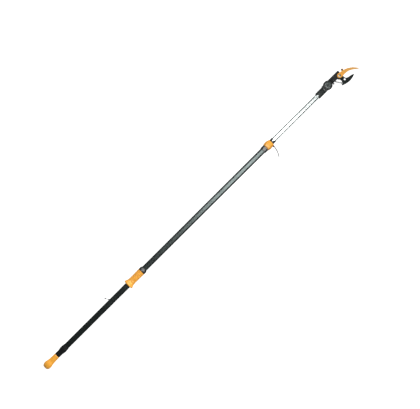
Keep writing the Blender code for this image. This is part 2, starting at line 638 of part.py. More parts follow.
# ---------------------------------------------------------------- telescope clamp
def make_clamp():
    pole_ring("clamp_sleeve", [(SLEEVE_START, OUTER_R + 0.0016),
                               (SLEEVE_START + 0.003, OUTER_R + 0.0028),
                               (CLAMP_START - FIT, OUTER_R + 0.0032)], OVER_TUBE_R, BLACK_PLASTIC)
    radius = CLAMP_D / 2
    barrel = smooth([(CLAMP_START + 0.0008, radius - 0.0026), (CLAMP_START + 0.008, radius - 0.0006),
                     (CLAMP_START + 0.017, radius), (CLAMP_START + 0.028, radius - 0.0014),
                     (CLAMP_END - 0.004, radius - 0.0048)], 2)
    body = pole_ring("clamp_body", [(CLAMP_START, radius - 0.0036)] + barrel
                     + [(CLAMP_END, radius - 0.0062)], OVER_TUBE_R, ORANGE_PLASTIC)
    ear_top = 0.0088
    ear = upright("clamp_ear", CLAMP_EAR_STATION, CLAMP_EAR_Y,
                  [(-ear_top, CLAMP_EAR_D / 2), (ear_top, CLAMP_EAR_D / 2)])
    web = block("clamp_ear_web", (CLAMP_EAR_STATION - 0.005, CLAMP_EAR_STATION + 0.005),
                (CLAMP_EAR_Y, -OUTER_R - 0.001), (-ear_top + 0.0002, ear_top - 0.0002))
    foot = block("clamp_foot", (CLAMP_START + 0.003, CLAMP_START + 0.033), (-0.0115, 0.0115),
                 (-POLE_Z, -OUTER_R - 0.003), round_by=0.001)
    split = block("clamp_split", (CLAMP_START - 0.01, CLAMP_END + 0.01), (-0.04, -0.004),
                  (-0.0012, 0.0012))
    hole = upright("clamp_bolt_hole", CLAMP_EAR_STATION, CLAMP_EAR_Y,
                   [(-0.02, CLAMP_BOLT_D / 2 + FIT), (0.02, CLAMP_BOLT_D / 2 + FIT)])
    join(body, ear, web, foot)
    cut(body, split, hole)

    lever_low = ear_top + FIT
    lever_high = lever_low + LEVER_HEIGHT
    upright("clamp_bolt", CLAMP_EAR_STATION, CLAMP_EAR_Y,
            [(-0.0152, CLAMP_BOLT_D / 2), (lever_high + FIT, CLAMP_BOLT_D / 2),
             (lever_high + FIT, 0.0044), (lever_high + 0.0018, 0.0044), (lever_high + 0.0026, 0.0034)],
            BLACK_STEEL)
    hexagon("clamp_nut", CLAMP_EAR_STATION, CLAMP_EAR_Y, (-0.0135, -ear_top - FIT), 0.009, STEEL,
            hole_r=CLAMP_BOLT_D / 2 + FIT)
    make_clamp_lever(lever_low, lever_high)

    collet = pole_ring("clamp_collet", [(COLLET_INNER_START, OUTER_BORE_R - FIT),
                                        (OUTER_TUBE_END + FIT, OUTER_BORE_R - FIT),
                                        (OUTER_TUBE_END + FIT, OVER_TUBE_R - 0.0002),
                                        (CLAMP_END + 0.004, OUTER_R - 0.0002),
                                        (CLAMP_END + 0.010, OUTER_R - 0.001),
                                        (COLLET_END - 0.002, OUTER_R - 0.0004),
                                        (COLLET_END, OUTER_R - 0.0012)],
                       INNER_R + SLIDE, BLACK_PLASTIC)
    notch = plate("collet_notch", [(COLLET_END - 0.0125, 0.0006), (COLLET_END - 0.0125, -0.0006),
                                   (COLLET_END + 0.004, -0.0088), (COLLET_END + 0.004, 0.0088)],
                  (-0.03, 0.03))
    cut(collet, notch)


def make_clamp_lever(low, high):
    """Curved flat lever; it turns about the clamp bolt to draw the split clamp together."""
    hub = (CLAMP_EAR_STATION, CLAMP_EAR_Y)
    route = smooth([(0.0, 0.0), (-0.0006, -0.010), (-0.0022, -0.021), (-0.0068, -0.036),
                    (-0.0125, -0.049), (-0.0195, -0.0605), (-0.0225, -0.0645)], 4)
    left, right = [], []
    for i, (x, y) in enumerate(route):
        ahead = Vector(route[min(i + 1, len(route) - 1)]) - Vector(route[max(i - 1, 0)])
        side = Vector((-ahead.y, ahead.x)).normalized()
        share = i / (len(route) - 1)
        half = 0.5 * LEVER_THICKNESS * (1.0 - 0.30 * share)
        left.append((hub[0] + x + side.x * half, hub[1] + y + side.y * half))
        right.append((hub[0] + x - side.x * half, hub[1] + y - side.y * half))
    lever = plate("clamp_lever", left + right[::-1], (low, high), BLACK_PLASTIC, centre=hub)
    eye = upright("clamp_lever_eye", hub[0], hub[1], [(low, 0.0052), (high, 0.0052)])
    hole = upright("clamp_lever_hole", hub[0], hub[1], [(low - 0.002, CLAMP_BOLT_D / 2 + FIT),
                                                       (high + 0.002, CLAMP_BOLT_D / 2 + FIT)])
    join(lever, eye)
    cut(lever, hole)


# ---------------------------------------------------------------- inner pole
def make_inner_pole():
    tube = pole_ring("inner_tube", [(INNER_TUBE_START, INNER_R), (INNER_TUBE_END, INNER_R)],
                     INNER_BORE_R, SILVER_TUBE)
    grub_hole = rod_between("socket_screw_tube_hole", (SOCKET_SCREW_STATION, 0.0, -0.020),
                            (SOCKET_SCREW_STATION, 0.0, -0.008), SOCKET_SCREW_R + FIT)
    cut(tube, grub_hole)
    pole_ring("inner_tube_bush", [(INNER_TUBE_START, OUTER_BORE_R - SLIDE),
                                  (INNER_TUBE_START + 0.030, OUTER_BORE_R - SLIDE)],
              INNER_R + FIT, GREY_PLASTIC)
    strap = block("pole_strap", (STRAP_LOWER_STATION, TILT_STATION - 0.0005),
                  (STRAP_Y - STRAP_THICKNESS / 2, STRAP_Y + STRAP_THICKNESS / 2),
                  (STRAP_LOW, STRAP_HIGH), WEBBING)
    return strap


def make_tilt_fork():
    """Socket on the inner tube that ends in two cheeks for the tilting head."""
    centre = (TILT_STATION, TILT_Y)
    socket_r = SOCKET_D / 2
    fork = pole_rod("tilt_fork", [(SOCKET_START, socket_r - 0.0012), (SOCKET_START + 0.0015, socket_r),
                                  (SOCKET_END - 0.008, socket_r), (SOCKET_END - 0.006, socket_r - 0.001),
                                  (SOCKET_END - 0.004, socket_r), (SOCKET_END, socket_r)],
                    GREY_PLASTIC)
    rear = SOCKET_END - 0.0047
    outline = arc(centre, FORK_D / 2, -125.0, 132.0, 30)
    outline += [(rear + 0.006, TILT_Y + 0.0193), (rear, TILT_Y + 0.0180), (rear, TILT_Y - 0.0205)]
    bolt_hole = [(*centre, TILT_BOLT_D / 2 + FIT)]
    upper = plate("fork_cheek_upper", outline, (FORK_GAP / 2, FORK_HIGH), holes=bolt_hole)
    lower = plate("fork_cheek_lower", outline, (-FORK_HIGH, -FORK_GAP / 2), holes=bolt_hole)
    bridge = block("fork_bridge", (rear + 0.0004, SOCKET_END + 0.0011),
                   (TILT_Y - 0.0197, TILT_Y + 0.0172), (-FORK_HIGH + 0.0003, FORK_HIGH - 0.0003))
    bore = pole_rod("socket_bore", [(SOCKET_START - 0.005, INNER_R + FIT),
                                    (INNER_TUBE_END + FIT, INNER_R + FIT),
                                    (INNER_TUBE_END + FIT, STRAP_PASSAGE_R),
                                    (SOCKET_END + 0.003, STRAP_PASSAGE_R)])
    mouth = upright("socket_mouth", SOCKET_START - 0.004, 0.0, [(-0.03, 0.0115), (0.03, 0.0115)],
                    steps=24)
    grub_hole = rod_between("socket_screw_hole", (SOCKET_SCREW_STATION, 0.0, -0.030),
                            (SOCKET_SCREW_STATION, 0.0, -0.010), SOCKET_SCREW_R + FIT)
    join(fork, upper, lower, bridge)
    cut(fork, bore, mouth, grub_hole)
    rod_between("socket_screw", (SOCKET_SCREW_STATION, 0.0, -INNER_BORE_R - 0.0002),
                (SOCKET_SCREW_STATION, 0.0, -socket_r + 0.0006), SOCKET_SCREW_R, STEEL)


def make_tilt_joint():
    centre = (TILT_STATION, TILT_Y)
    bolt_r = TILT_BOLT_D / 2
    knob_low = HEAD_CHEEK_HIGH + FIT
    knob_high = knob_low + TILT_KNOB_HEIGHT
    half_gap = FORK_GAP / 2
    upright("tilt_bolt", *centre, [(-HEAD_CHEEK_HIGH - 0.0045, 0.0062),
                                   (-HEAD_CHEEK_HIGH - FIT, 0.0068),
                                   (-HEAD_CHEEK_HIGH - FIT, bolt_r), (knob_high - 0.003, bolt_r)],
            BLACK_STEEL)
    pulley = [(DRUM_LOW + 0.0004, GUIDE_PULLEY_R + 0.0024), (STRAP_LOW - 0.0003, GUIDE_PULLEY_R + 0.0024),
              (STRAP_LOW - 0.0003, GUIDE_PULLEY_R), (STRAP_HIGH + 0.0003, GUIDE_PULLEY_R),
              (STRAP_HIGH + 0.0003, GUIDE_PULLEY_R + 0.0024), (DRUM_HIGH - 0.0002, GUIDE_PULLEY_R + 0.0024)]
    upright_ring("guide_pulley", *centre, pulley, bolt_r + FIT, GREY_PLASTIC, steps=24)
    upright_ring("pulley_spacer", *centre, [(DRUM_HIGH + 0.0002, 0.0068), (half_gap - FIT, 0.0068)],
                 bolt_r + FIT, GREY_PLASTIC)
    knob = upright_ring("tilt_knob", *centre, [(knob_low, TILT_KNOB_D / 2 - 0.001),
                                               (knob_low + 0.001, TILT_KNOB_D / 2),
                                               (knob_high - 0.003, TILT_KNOB_D / 2),
                                               (knob_high - 0.0008, TILT_KNOB_D / 2 - 0.0022),
                                               (knob_high, TILT_KNOB_D / 2 - 0.006)],
                        bolt_r + FIT, GREY_PLASTIC, steps=TURN_STEPS)
    for k in range(TILT_KNOB_LOBES):
        a = 2 * math.pi * (k + 0.5) / TILT_KNOB_LOBES
        reach = TILT_KNOB_D / 2 + 0.0022
        flute = upright("knob_flute_%d" % k, centre[0] + reach * math.cos(a),
                        centre[1] + reach * math.sin(a), [(knob_low - 0.003, 0.0042),
                                                          (knob_high + 0.003, 0.0042)], steps=12)
        cut(knob, flute)


# ---------------------------------------------------------------- cutting head
def drill(name, place, low, high, radius):
    return upright(name, *place, [(low, radius), (high, radius)])


def make_casings():
    """Two black casing halves, each with a cheek that laps the fork outside."""
    top, bottom, end = CASING_TOP_Y, CASING_BOTTOM_Y, CASING_END
    tilt_clear = FORK_D / 2 + FIT
    first = math.degrees(math.asin((bottom - TILT_Y) / tilt_clear))
    last = math.degrees(math.asin((top - TILT_Y) / tilt_clear))
    fork_side = arc(TILT, tilt_clear, first, last, 10)
    corner = arc((end - 0.006, top - 0.006), 0.006, 90.0, 0.0, 5)
    notch_r = BOSS_R + 0.0006
    notch = arc(PIVOT, notch_r, 80.0, 180.0 + math.degrees(math.asin((PIVOT_Y - bottom) / notch_r)), 12)
    upper_outline = fork_side + corner + [(end, notch[0][1])] + notch
    around = arc(PIVOT, 0.0128, 0.0, -math.degrees(math.asin((PIVOT_Y - bottom) / 0.0128)) - 55.0, 8)
    lower_outline = fork_side + corner + around + [(PIVOT_STATION - 0.013, bottom)]
    wall, height = CASING_WALL, CASING_HALF_HEIGHT

    lower = plate("head_casing_lower", lower_outline, (-height, CASING_SPLIT), BLACK_PLASTIC,
                  centre=TILT)
    upper = plate("head_casing_upper", upper_outline, (CASING_SPLIT + FIT, height), BLACK_PLASTIC,
                  centre=TILT)
    arm_y = (bottom + 0.0006, top - 0.0006)
    for casing, side in ((lower, -1), (upper, 1)):
        levels = sorted((side * HEAD_CHEEK_LOW, side * HEAD_CHEEK_HIGH))
        name = "cheek_upper" if side > 0 else "cheek_lower"
        cheek = upright(name, *TILT, [(level, HEAD_CHEEK_D / 2) for level in levels], steps=32)
        arm = block(name + "_arm", (TILT_STATION + 0.012, TILT_STATION + 0.0315), arm_y,
                    (levels[0] + 0.0001, levels[1] - 0.0001), round_by=0.001)
        join(casing, cheek, arm)

    cavity = block("drum_cavity", (TILT_STATION + 0.018, PIVOT_STATION - 0.0075),
                   (bottom + wall, top - wall), (-height + wall + 0.0016, CASING_SPLIT + 0.003))
    gear_room = upright("gear_room", *PIVOT, [(DRUM_HIGH + 0.0002, SECTOR_R + TOOTH_TIP + 0.0006),
                                              (CASING_SPLIT + 0.005, SECTOR_R + TOOTH_TIP + 0.0006)],
                        steps=32)
    blade_mouth = block("blade_mouth", (DRUM_STATION - 0.006, end + 0.01), (bottom - 0.01, PIVOT_Y),
                        (DRUM_HIGH + 0.0002, CASING_SPLIT + 0.005))
    tang_room = block("tang_room", (TANG_STATIONS[0] - FIT, TANG_STATIONS[1] + 0.02),
                      (TANG_YS[0] - FIT, TANG_YS[1] + FIT), (CASING_SPLIT - 0.004, HOOK_HIGH + FIT))
    cut(lower, cavity, gear_room, blade_mouth)
    cut(upper, tang_room)

    for k, place in enumerate(CASING_SCREWS):
        post = drill("screw_post_%d" % k, place, -height + wall, CASING_SPLIT - 0.0001, 0.0036)
        join(lower, post)
    ear = drill("spring_ear", HEAD_POST, SPRING_EAR_LOW, height - 0.0003, 0.0036)
    ear_web = block("spring_ear_web", (HEAD_POST[0] - 0.003, HEAD_POST[0] + 0.003),
                    (HEAD_POST[1], bottom + 0.001), (SPRING_EAR_LOW + 0.0001, height - 0.0004))
    stop_lug = drill("tilt_stop_lug", (TILT_STATION + 0.0285, bottom - 0.0045), CASING_SPLIT + 0.004,
                     height - 0.001, 0.0042)
    lug_web = block("tilt_stop_web", (TILT_STATION + 0.0255, TILT_STATION + 0.0315),
                    (bottom - 0.0045, bottom + 0.002), (CASING_SPLIT + 0.0041, height - 0.0011))
    join(upper, ear, ear_web, stop_lug, lug_web)

    for casing, low, high in ((lower, -0.03, CASING_SPLIT + 0.001), (upper, CASING_SPLIT - 0.001, 0.03)):
        tag = casing.name
        holes = [drill(tag + "_tilt_hole", TILT, low, high, TILT_BOLT_D / 2 + FIT),
                 drill(tag + "_axle_hole", DRUM, low, high, DRUM_AXLE_D / 2 + FIT)]
        holes += [drill("%s_screw_hole_%d" % (tag, k), place, low, high, CASING_SCREW_D / 2 + FIT)
                  for k, place in enumerate(CASING_SCREWS)]
        cut(casing, *holes, solver="MANIFOLD")
    cut(lower, drill("lower_pivot_hole", PIVOT, -0.03, CASING_SPLIT, PIVOT_BOLT_D / 2 + FIT),
        solver="MANIFOLD")
    cut(upper, drill("spring_post_hole", HEAD_POST, 0.0, 0.03, SPRING_POST_D / 2 + FIT),
        solver="MANIFOLD")


def make_head_fasteners():
    height = CASING_HALF_HEIGHT
    for k, place in enumerate(CASING_SCREWS):
        upright("casing_screw_%d" % (k + 1), *place,
                [(-height + 0.001, CASING_SCREW_D / 2), (height + FIT, CASING_SCREW_D / 2),
                 (height + FIT, 0.0027), (height + 0.0012, 0.0027), (height + 0.0017, 0.0018)], STEEL,
                steps=16)
    upright("drum_axle", *DRUM, [(-height + 0.0006, DRUM_AXLE_D / 2), (height - 0.0004, DRUM_AXLE_D / 2)],
            STEEL)
    upright("pivot_bolt", *PIVOT, [(-height - 0.0062, PIVOT_BOLT_D / 2),
                                   (BOSS_HIGH + FIT, PIVOT_BOLT_D / 2),
                                   (BOSS_HIGH + FIT, 0.0072), (BOSS_HIGH + 0.0022, 0.0070),
                                   (BOSS_HIGH + 0.0032, 0.0052)], STEEL, steps=24)
    hexagon("pivot_nut", *PIVOT, (-height - 0.0055, -height - FIT), 0.013, STEEL,
            hole_r=PIVOT_BOLT_D / 2 + FIT)


def make_hook():
    """Fixed hooked jaw: a tang inside the casing, a boss at the pivot and a curved arm."""
    tang = block("hook_tang", TANG_STATIONS, TANG_YS, (HOOK_LOW, HOOK_HIGH), round_by=0.0005)
    outer = smooth(from_pivot((0.0, 0.0135), (0.016, 0.0112), (0.035, 0.008), (0.053, 0.0018),
                              (0.07, -0.0075), (0.086, -0.0205), (0.099, -0.036),
                              (0.1055, -0.0455)), 4)
    inner = smooth(from_pivot((0.1035, -0.0475), (0.097, -0.0445), (0.084, -0.0345),
                              (0.07, -0.0245), (0.053, -0.0165), (0.034, -0.0132),
                              (0.016, -0.0136), (0.004, -0.0132)), 4)
    hook = plate("hook_jaw", outer + inner, (HOOK_LOW, HOOK_HIGH), ORANGE_STEEL, centre=PIVOT)
    boss = upright("hook_boss", *PIVOT, [(HOOK_LOW, BOSS_R), (BOSS_HIGH - 0.0008, BOSS_R),
                                         (BOSS_HIGH, BOSS_R - 0.0008)], steps=32)
    ear = drill("stud_ear", HOOK_STUD, HOOK_LOW, HOOK_HIGH, 0.0066)
    join(hook, boss, tang, ear)
    cut(hook, drill("hook_pivot_hole", PIVOT, 0.0, 0.03, PIVOT_BOLT_D / 2 + FIT),
        drill("hook_axle_hole", DRUM, 0.0, 0.03, DRUM_AXLE_D / 2 + FIT),
        drill("hook_stud_hole", HOOK_STUD, 0.0, 0.03, 0.0025 + FIT))
    upright("hook_stud", *HOOK_STUD, [(HOOK_LOW + 0.0002, 0.0025), (HOOK_HIGH + FIT, 0.0025),
                                      (HOOK_HIGH + FIT, 0.0044), (HOOK_HIGH + 0.0040, 0.0044),
                                      (HOOK_HIGH + 0.0052, 0.0030)], BLACK_STEEL)


def make_blade():
    """Moving blade: a toothed root about the pivot, a waisted shank and a crescent."""
    mesh_deg = math.degrees(math.atan2(DRUM_Y - PIVOT_Y, DRUM_STATION - PIVOT_STATION))
    pitch = 360.0 / SECTOR_TEETH
    closing = math.degrees(BLADE_CLOSING)
    number = math.ceil(closing / pitch) + 2
    first = mesh_deg + 0.5 * pitch - (number - 1) * pitch
    gear = teeth(PIVOT, SECTOR_R, SECTOR_TEETH, first, number)
    plain_r = SECTOR_R - TOOTH_ROOT - 0.0006
    plain = arc(PIVOT, plain_r, first + number * pitch - 2.0, 228.0, 8)
    back = smooth([plain[-1]] + from_pivot((-0.0132, -0.0235), (-0.013, -0.03), (-0.0158, -0.0348),
                                           (-0.021, -0.0362), (-0.024, -0.0402),
                                           (-0.0272, -0.0477)), 3)[1:]
    belly = smooth(from_pivot((-0.026, -0.0502), (-0.014, -0.0542), (0.0, -0.0582),
                              (0.02, -0.0612), (0.04, -0.0588), (0.056, -0.0542),
                              (0.0635, -0.0503)), 4)
    edge = smooth(from_pivot((0.062, -0.0478), (0.052, -0.0438), (0.04, -0.0408),
                             (0.029, -0.0388), (0.0185, -0.0342), (0.0138, -0.026),
                             (0.013, -0.015), (0.0124, -0.0048)), 4)
    root = arc(PIVOT, 0.0130, -16.0, first - pitch, 12)
    outline = gear + plain + back + belly + edge + root
    plate("blade", outline, (BLADE_LOW, BLADE_HIGH), BLACK_STEEL,
          holes=[(*PIVOT, PIVOT_BOLT_D / 2 + FIT), (*BLADE_HOLE, BLADE_HOLE_R),
                 (*BLADE_POST, SPRING_POST_D / 2 + FIT)], centre=PIVOT)


def make_strap_drum():
    """Flanged drum that unwinds the strap, with a pinion that turns the blade."""
    flange_r, barrel_r = DRUM_FLANGE_D / 2, DRUM_D / 2
    drum = upright("strap_drum", *DRUM, [(DRUM_LOW, flange_r), (STRAP_LOW - FIT, flange_r),
                                         (STRAP_LOW - FIT, barrel_r), (STRAP_HIGH + FIT, barrel_r),
                                         (STRAP_HIGH + FIT, flange_r), (DRUM_HIGH, flange_r)],
                   GREY_PLASTIC, steps=24)
    towards_pivot = math.degrees(math.atan2(PIVOT_Y - DRUM_Y, PIVOT_STATION - DRUM_STATION))
    pinion = plate("pinion", teeth(DRUM, PINION_R, PINION_TEETH, towards_pivot, PINION_TEETH),
                   (STRAP_HIGH + FIT + 0.0002, HOOK_LOW - FIT), centre=DRUM)
    join(drum, pinion)
    cut(drum, drill("drum_bore", DRUM, -0.03, 0.03, DRUM_AXLE_D / 2 + FIT))


def make_head_strap():
    """Strap from the guide pulley to the drum and most of a turn about it."""
    route = [(TILT_STATION + 0.0002, STRAP_Y), (DRUM_STATION - 0.012, STRAP_Y)]
    route += arc(DRUM, STRAP_ON_DRUM_R, -90.0, 218.0, 36)
    mesh = bpy.data.meshes.new("head_strap")
    ribbon = bmesh.new()
    rows = [[ribbon.verts.new((x_at(s), y, POLE_Z + level)) for level in (STRAP_LOW, STRAP_HIGH)]
            for s, y in route]
    for before, after in zip(rows, rows[1:]):
        ribbon.faces.new((before[0], after[0], after[1], before[1]))
    ribbon.to_mesh(mesh)
    ribbon.free()
    strap = add_piece("head_strap", mesh, WEBBING)
    shell = strap.modifiers.new("thickness", "SOLIDIFY")
    shell.thickness = STRAP_THICKNESS
    shell.offset = 0.0
    shell.use_even_offset = True


def make_return_spring():
    """Extension spring from the casing to the blade's heel, with two posts."""
    middle = SPRING_LOW + SPRING_D / 2
    a = Vector((x_at(HEAD_POST[0]), HEAD_POST[1], POLE_Z + middle))
    b = Vector((x_at(BLADE_POST[0]), BLADE_POST[1], POLE_Z + middle))
    along = (b - a).normalized()
    clear = SPRING_POST_D / 2 + SPRING_WIRE_D / 2 + 0.0006
    a, b = a + along * clear, b - along * clear
    side = along.cross(Vector((0, 0, 1))).normalized()
    coil_r = (SPRING_D - SPRING_WIRE_D) / 2
    per_turn = 8
    count = SPRING_TURNS * per_turn
    curve = bpy.data.curves.new("return_spring", "CURVE")
    curve.dimensions = "3D"
    curve.bevel_depth = SPRING_WIRE_D / 2
    curve.bevel_resolution = 0
    curve.use_fill_caps = True
    spline = curve.splines.new("POLY")
    spline.points.add(count)
    for i, point in enumerate(spline.points):
        turn = 2 * math.pi * i / per_turn
        place = a.lerp(b, i / count) + coil_r * (math.cos(turn) * side + math.sin(turn) * Vector((0, 0, 1)))
        point.co = (*place, 1.0)
    spring = bpy.data.objects.new("return_spring", curve)
    PARTS.objects.link(spring)
    curve.materials.append(material("return_spring_material", *SILVER_TUBE))
    post_r = SPRING_POST_D / 2
    top = middle + SPRING_D / 2 + 0.0006
    low = SPRING_LOW + 0.0006
    upright("spring_post_head", *HEAD_POST, [(low, post_r + 0.0008), (low + 0.0008, post_r + 0.0008),
                                             (low + 0.0008, post_r), (CASING_HALF_HEIGHT - 0.0001, post_r)],
            STEEL, steps=14)
    upright("spring_post_blade", *BLADE_POST, [(BLADE_LOW + 0.0001, post_r), (top, post_r),
                                               (top, post_r + 0.001), (top + 0.001, post_r + 0.001)],
            STEEL, steps=14)


# ---------------------------------------------------------------- assembly
clear_scene()
PARTS = new_collection("telescoping_tree_pruner")
CUTTERS = new_collection("cutters")

make_outer_tube()
make_end_cap()
make_end_knob()
make_slide_handle()
make_handle_collar()
make_shuttle()
make_stop_bush()
make_lock_pin()
make_clamp()
make_inner_pole()
make_tilt_fork()
make_tilt_joint()
make_casings()
make_head_fasteners()
make_hook()
make_blade()
make_strap_drum()
make_head_strap()
make_return_spring()
for finished in PARTS.objects:
    if finished.type == "MESH":
        smooth_shading(finished.data)
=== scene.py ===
"""Looks of a telescoping tree pruner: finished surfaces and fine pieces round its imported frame."""

import json
import math

import bmesh
import bpy
from bpy.props import FloatProperty, FloatVectorProperty, PointerProperty
from mathutils import Matrix, Vector


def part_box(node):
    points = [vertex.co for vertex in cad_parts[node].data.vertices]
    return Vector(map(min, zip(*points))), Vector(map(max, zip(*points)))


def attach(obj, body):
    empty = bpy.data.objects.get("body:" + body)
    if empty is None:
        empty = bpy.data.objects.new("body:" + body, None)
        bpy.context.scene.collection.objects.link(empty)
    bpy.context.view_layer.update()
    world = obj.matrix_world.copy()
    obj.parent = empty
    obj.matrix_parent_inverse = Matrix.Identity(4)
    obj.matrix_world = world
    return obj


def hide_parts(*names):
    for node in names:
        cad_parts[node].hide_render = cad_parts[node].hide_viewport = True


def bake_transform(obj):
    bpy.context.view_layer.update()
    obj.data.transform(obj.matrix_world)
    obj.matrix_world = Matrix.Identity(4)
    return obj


bl_info = {
    "name": "Telescoping Tree Pruner",
    "version": (1, 0, 0),
    "blender": (4, 5, 0),
    "location": "View3D > Sidebar > Tree Pruner",
    "description": "Builds the finished surfaces of a telescoping tree pruner",
    "category": "Object",
}

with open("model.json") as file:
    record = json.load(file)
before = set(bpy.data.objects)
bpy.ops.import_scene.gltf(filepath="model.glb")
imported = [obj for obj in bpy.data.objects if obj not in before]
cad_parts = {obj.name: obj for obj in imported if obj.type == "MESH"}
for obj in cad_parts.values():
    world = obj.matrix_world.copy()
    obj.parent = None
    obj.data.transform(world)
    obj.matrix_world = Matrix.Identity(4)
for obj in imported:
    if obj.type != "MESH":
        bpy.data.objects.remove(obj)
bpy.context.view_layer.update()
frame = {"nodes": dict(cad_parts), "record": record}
MM = 0.001
SHARP = math.radians(38)      # edges over this angle stay crisp or get rounded
SLOT_OF = {part["node"]: part["material_slot"] for part in frame["record"]["subparts"]}
BODY_OF = {node: body for body, nodes in frame["record"]["behaviour"]["bodies"].items()
           for node in nodes}
POLE_Z = 0.5 * (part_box("inner_tube")[0].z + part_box("inner_tube")[1].z)

FLOOR_HALF = 25               # metres from the middle of the floor to its edges
SENSOR_WIDTH = 36.0           # mm
VIEW_WIDTH = 2.320            # metres across the view at the pole's height
PANEL_HEIGHT = 1.5            # metres from the floor to the soft panels
PANEL_LENGTH = 5.2
BALL_RADIUS = 3.4             # mm, lock pin's ball
STEM_RADIUS = 1.62            # mm, lock pin's stem
TIP_DEPTH = 2.5               # mm of the lock pin's inner end that places its line
BEVEL_WIDTH = 3.6             # mm, ground bevel on the blade
KNOB_SCALLOPS = 8
STRAP_FOLDS = 8
FOLD_PITCH = 2                # mm between the strap's folds


# ---------------------------------------------------------------- mesh helpers
def middle(node):
    low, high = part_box(node)
    return (low + high) / 2


def smooth_run(points, per_span=4):
    """Catmull-Rom curve through points of any dimension, ending at the outer two."""
    run = [Vector(p) for p in [points[0]] + list(points) + [points[-1]]]
    made = []
    for p0, p1, p2, p3 in zip(run, run[1:], run[2:], run[3:]):
        for k in range(per_span):
            t = k / per_span
            made.append(0.5 * (2 * p1 + (p2 - p0) * t + (2 * p0 - 5 * p1 + 4 * p2 - p3) * t * t
                               + (3 * p1 - p0 - 3 * p2 + p3) * t ** 3))
    return made + [run[-1]]


def finish_piece(name, mesh, node, finish, edge=0.0):
    """Object for a mesh: it takes the node's place, body and slot, and gets rounded edges."""
    mesh.materials.clear()
    mesh.materials.append(finish)
    mesh.shade_smooth()
    mesh.set_sharp_from_angle(angle=SHARP)
    piece = bpy.data.objects.new(name, mesh)
    bpy.context.scene.collection.objects.link(piece)
    if edge:
        bevel = piece.modifiers.new("rounded_edges", "BEVEL")
        bevel.width = edge
        bevel.segments = 3
        bevel.limit_method = "ANGLE"
        bevel.angle_limit = SHARP
    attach(piece, BODY_OF[node])
    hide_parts(node)
    return piece


def turned_mesh(name, profile, steps=96, ring=False, centre=(0.0, 0.0, 0.0), along="X"):
    """Mesh turned about a line along X or Z: profile is (place along, radius) in order."""
    shape = bmesh.new()
    rows = []
    for place, radius in profile:
        row = []
        for k in range(1 if radius < 1e-7 else steps):
            a = 2 * math.pi * k / steps
            u, v = radius * math.cos(a), radius * math.sin(a)
            offset = (place, u, v) if along == "X" else (u, v, place)
            row.append(shape.verts.new(Vector(centre) + Vector(offset)))
        rows.append(row)
    pairs = list(zip(rows, rows[1:]))
    if ring:
        pairs.append((rows[-1], rows[0]))
    for before, after in pairs:
        for k in range(steps):
            corners = [before[k % len(before)], before[(k + 1) % len(before)],
                       after[(k + 1) % len(after)], after[k % len(after)]]
            shape.faces.new(list(dict.fromkeys(corners)))
    bmesh.ops.recalc_face_normals(shape, faces=shape.faces)
    mesh = bpy.data.meshes.new(name)
    shape.to_mesh(mesh)
    shape.free()
    return mesh


def carved(mesh, cutters):
    """Mesh with solids cut away; the cutting solids are meshes too and are used up."""
    body = bpy.data.objects.new("carve_body", mesh)
    bpy.context.scene.collection.objects.link(body)
    tools = []
    for cutter in cutters:
        tool = bpy.data.objects.new("carve_tool", cutter)
        bpy.context.scene.collection.objects.link(tool)
        modifier = body.modifiers.new("carve", "BOOLEAN")
        modifier.object = tool
        tools.append(tool)
    depsgraph = bpy.context.evaluated_depsgraph_get()
    made = bpy.data.meshes.new_from_object(body.evaluated_get(depsgraph))
    for used in [body] + tools:
        bpy.data.objects.remove(used, do_unlink=True)
    return made


def box_mesh(low, high):
    mesh = bpy.data.meshes.new("box_tool")
    shape = bmesh.new()
    bmesh.ops.create_cube(shape, size=1.0)
    low, high = Vector(low), Vector(high)
    bmesh.ops.scale(shape, vec=high - low, verts=shape.verts)
    bmesh.ops.translate(shape, vec=(low + high) / 2, verts=shape.verts)
    shape.to_mesh(mesh)
    shape.free()
    return mesh


# ---------------------------------------------------------------- material helpers
def linear(hex_colour):
    """sRGB hex text to a linear colour."""
    parts = [int(hex_colour[i:i + 2], 16) / 255 for i in (1, 3, 5)]
    return tuple(c / 12.92 if c <= 0.04045 else ((c + 0.055) / 1.055) ** 2.4 for c in parts)


def add_node(tree, kind, settings=None, links=None):
    """One shader node: settings are attributes or input values, links are input to source."""
    made = tree.nodes.new(kind)
    for key, value in (settings or {}).items():
        if isinstance(key, str) and hasattr(made, key):
            setattr(made, key, value)
        else:
            made.inputs[key].default_value = value
    for key, source in (links or {}).items():
        tree.links.new(source, made.inputs[key])
    return made


def new_material(name, roughness, metallic=0.0, ior=1.5, coat=0.0):
    """Empty Principled material: its tree, shader and object coordinates in metres."""
    made = bpy.data.materials.new(name)
    made.use_nodes = True
    tree = made.node_tree
    shader = tree.nodes["Principled BSDF"]
    shader.inputs["Roughness"].default_value = roughness
    shader.inputs["Metallic"].default_value = metallic
    if not metallic:
        shader.inputs["IOR"].default_value = ior
    shader.inputs["Coat Weight"].default_value = coat
    shader.inputs["Coat Roughness"].default_value = 0.12
    return made, tree, shader, add_node(tree, "ShaderNodeTexCoord").outputs["Object"]


def noise(tree, place, size_mm, detail=3.0):
    """Noise whose features are size_mm across; a triple stretches it along X, Y and Z."""
    sizes = size_mm if isinstance(size_mm, tuple) else (size_mm,) * 3
    scaled = add_node(tree, "ShaderNodeMapping",
                      {"Scale": tuple(1 / (size * MM) for size in sizes)}, {"Vector": place})
    return add_node(tree, "ShaderNodeTexNoise", {"Scale": 1.0, "Detail": detail},
                    {"Vector": scaled.outputs["Vector"]}).outputs["Fac"]


def spread(tree, value, low, high, start=0.32, end=0.68):
    """Rescale the middle of a value to a range, clamped at both ends."""
    limits = {"From Min": start, "From Max": end, "To Min": low, "To Max": high}
    return add_node(tree, "ShaderNodeMapRange", limits, {"Value": value}).outputs["Result"]


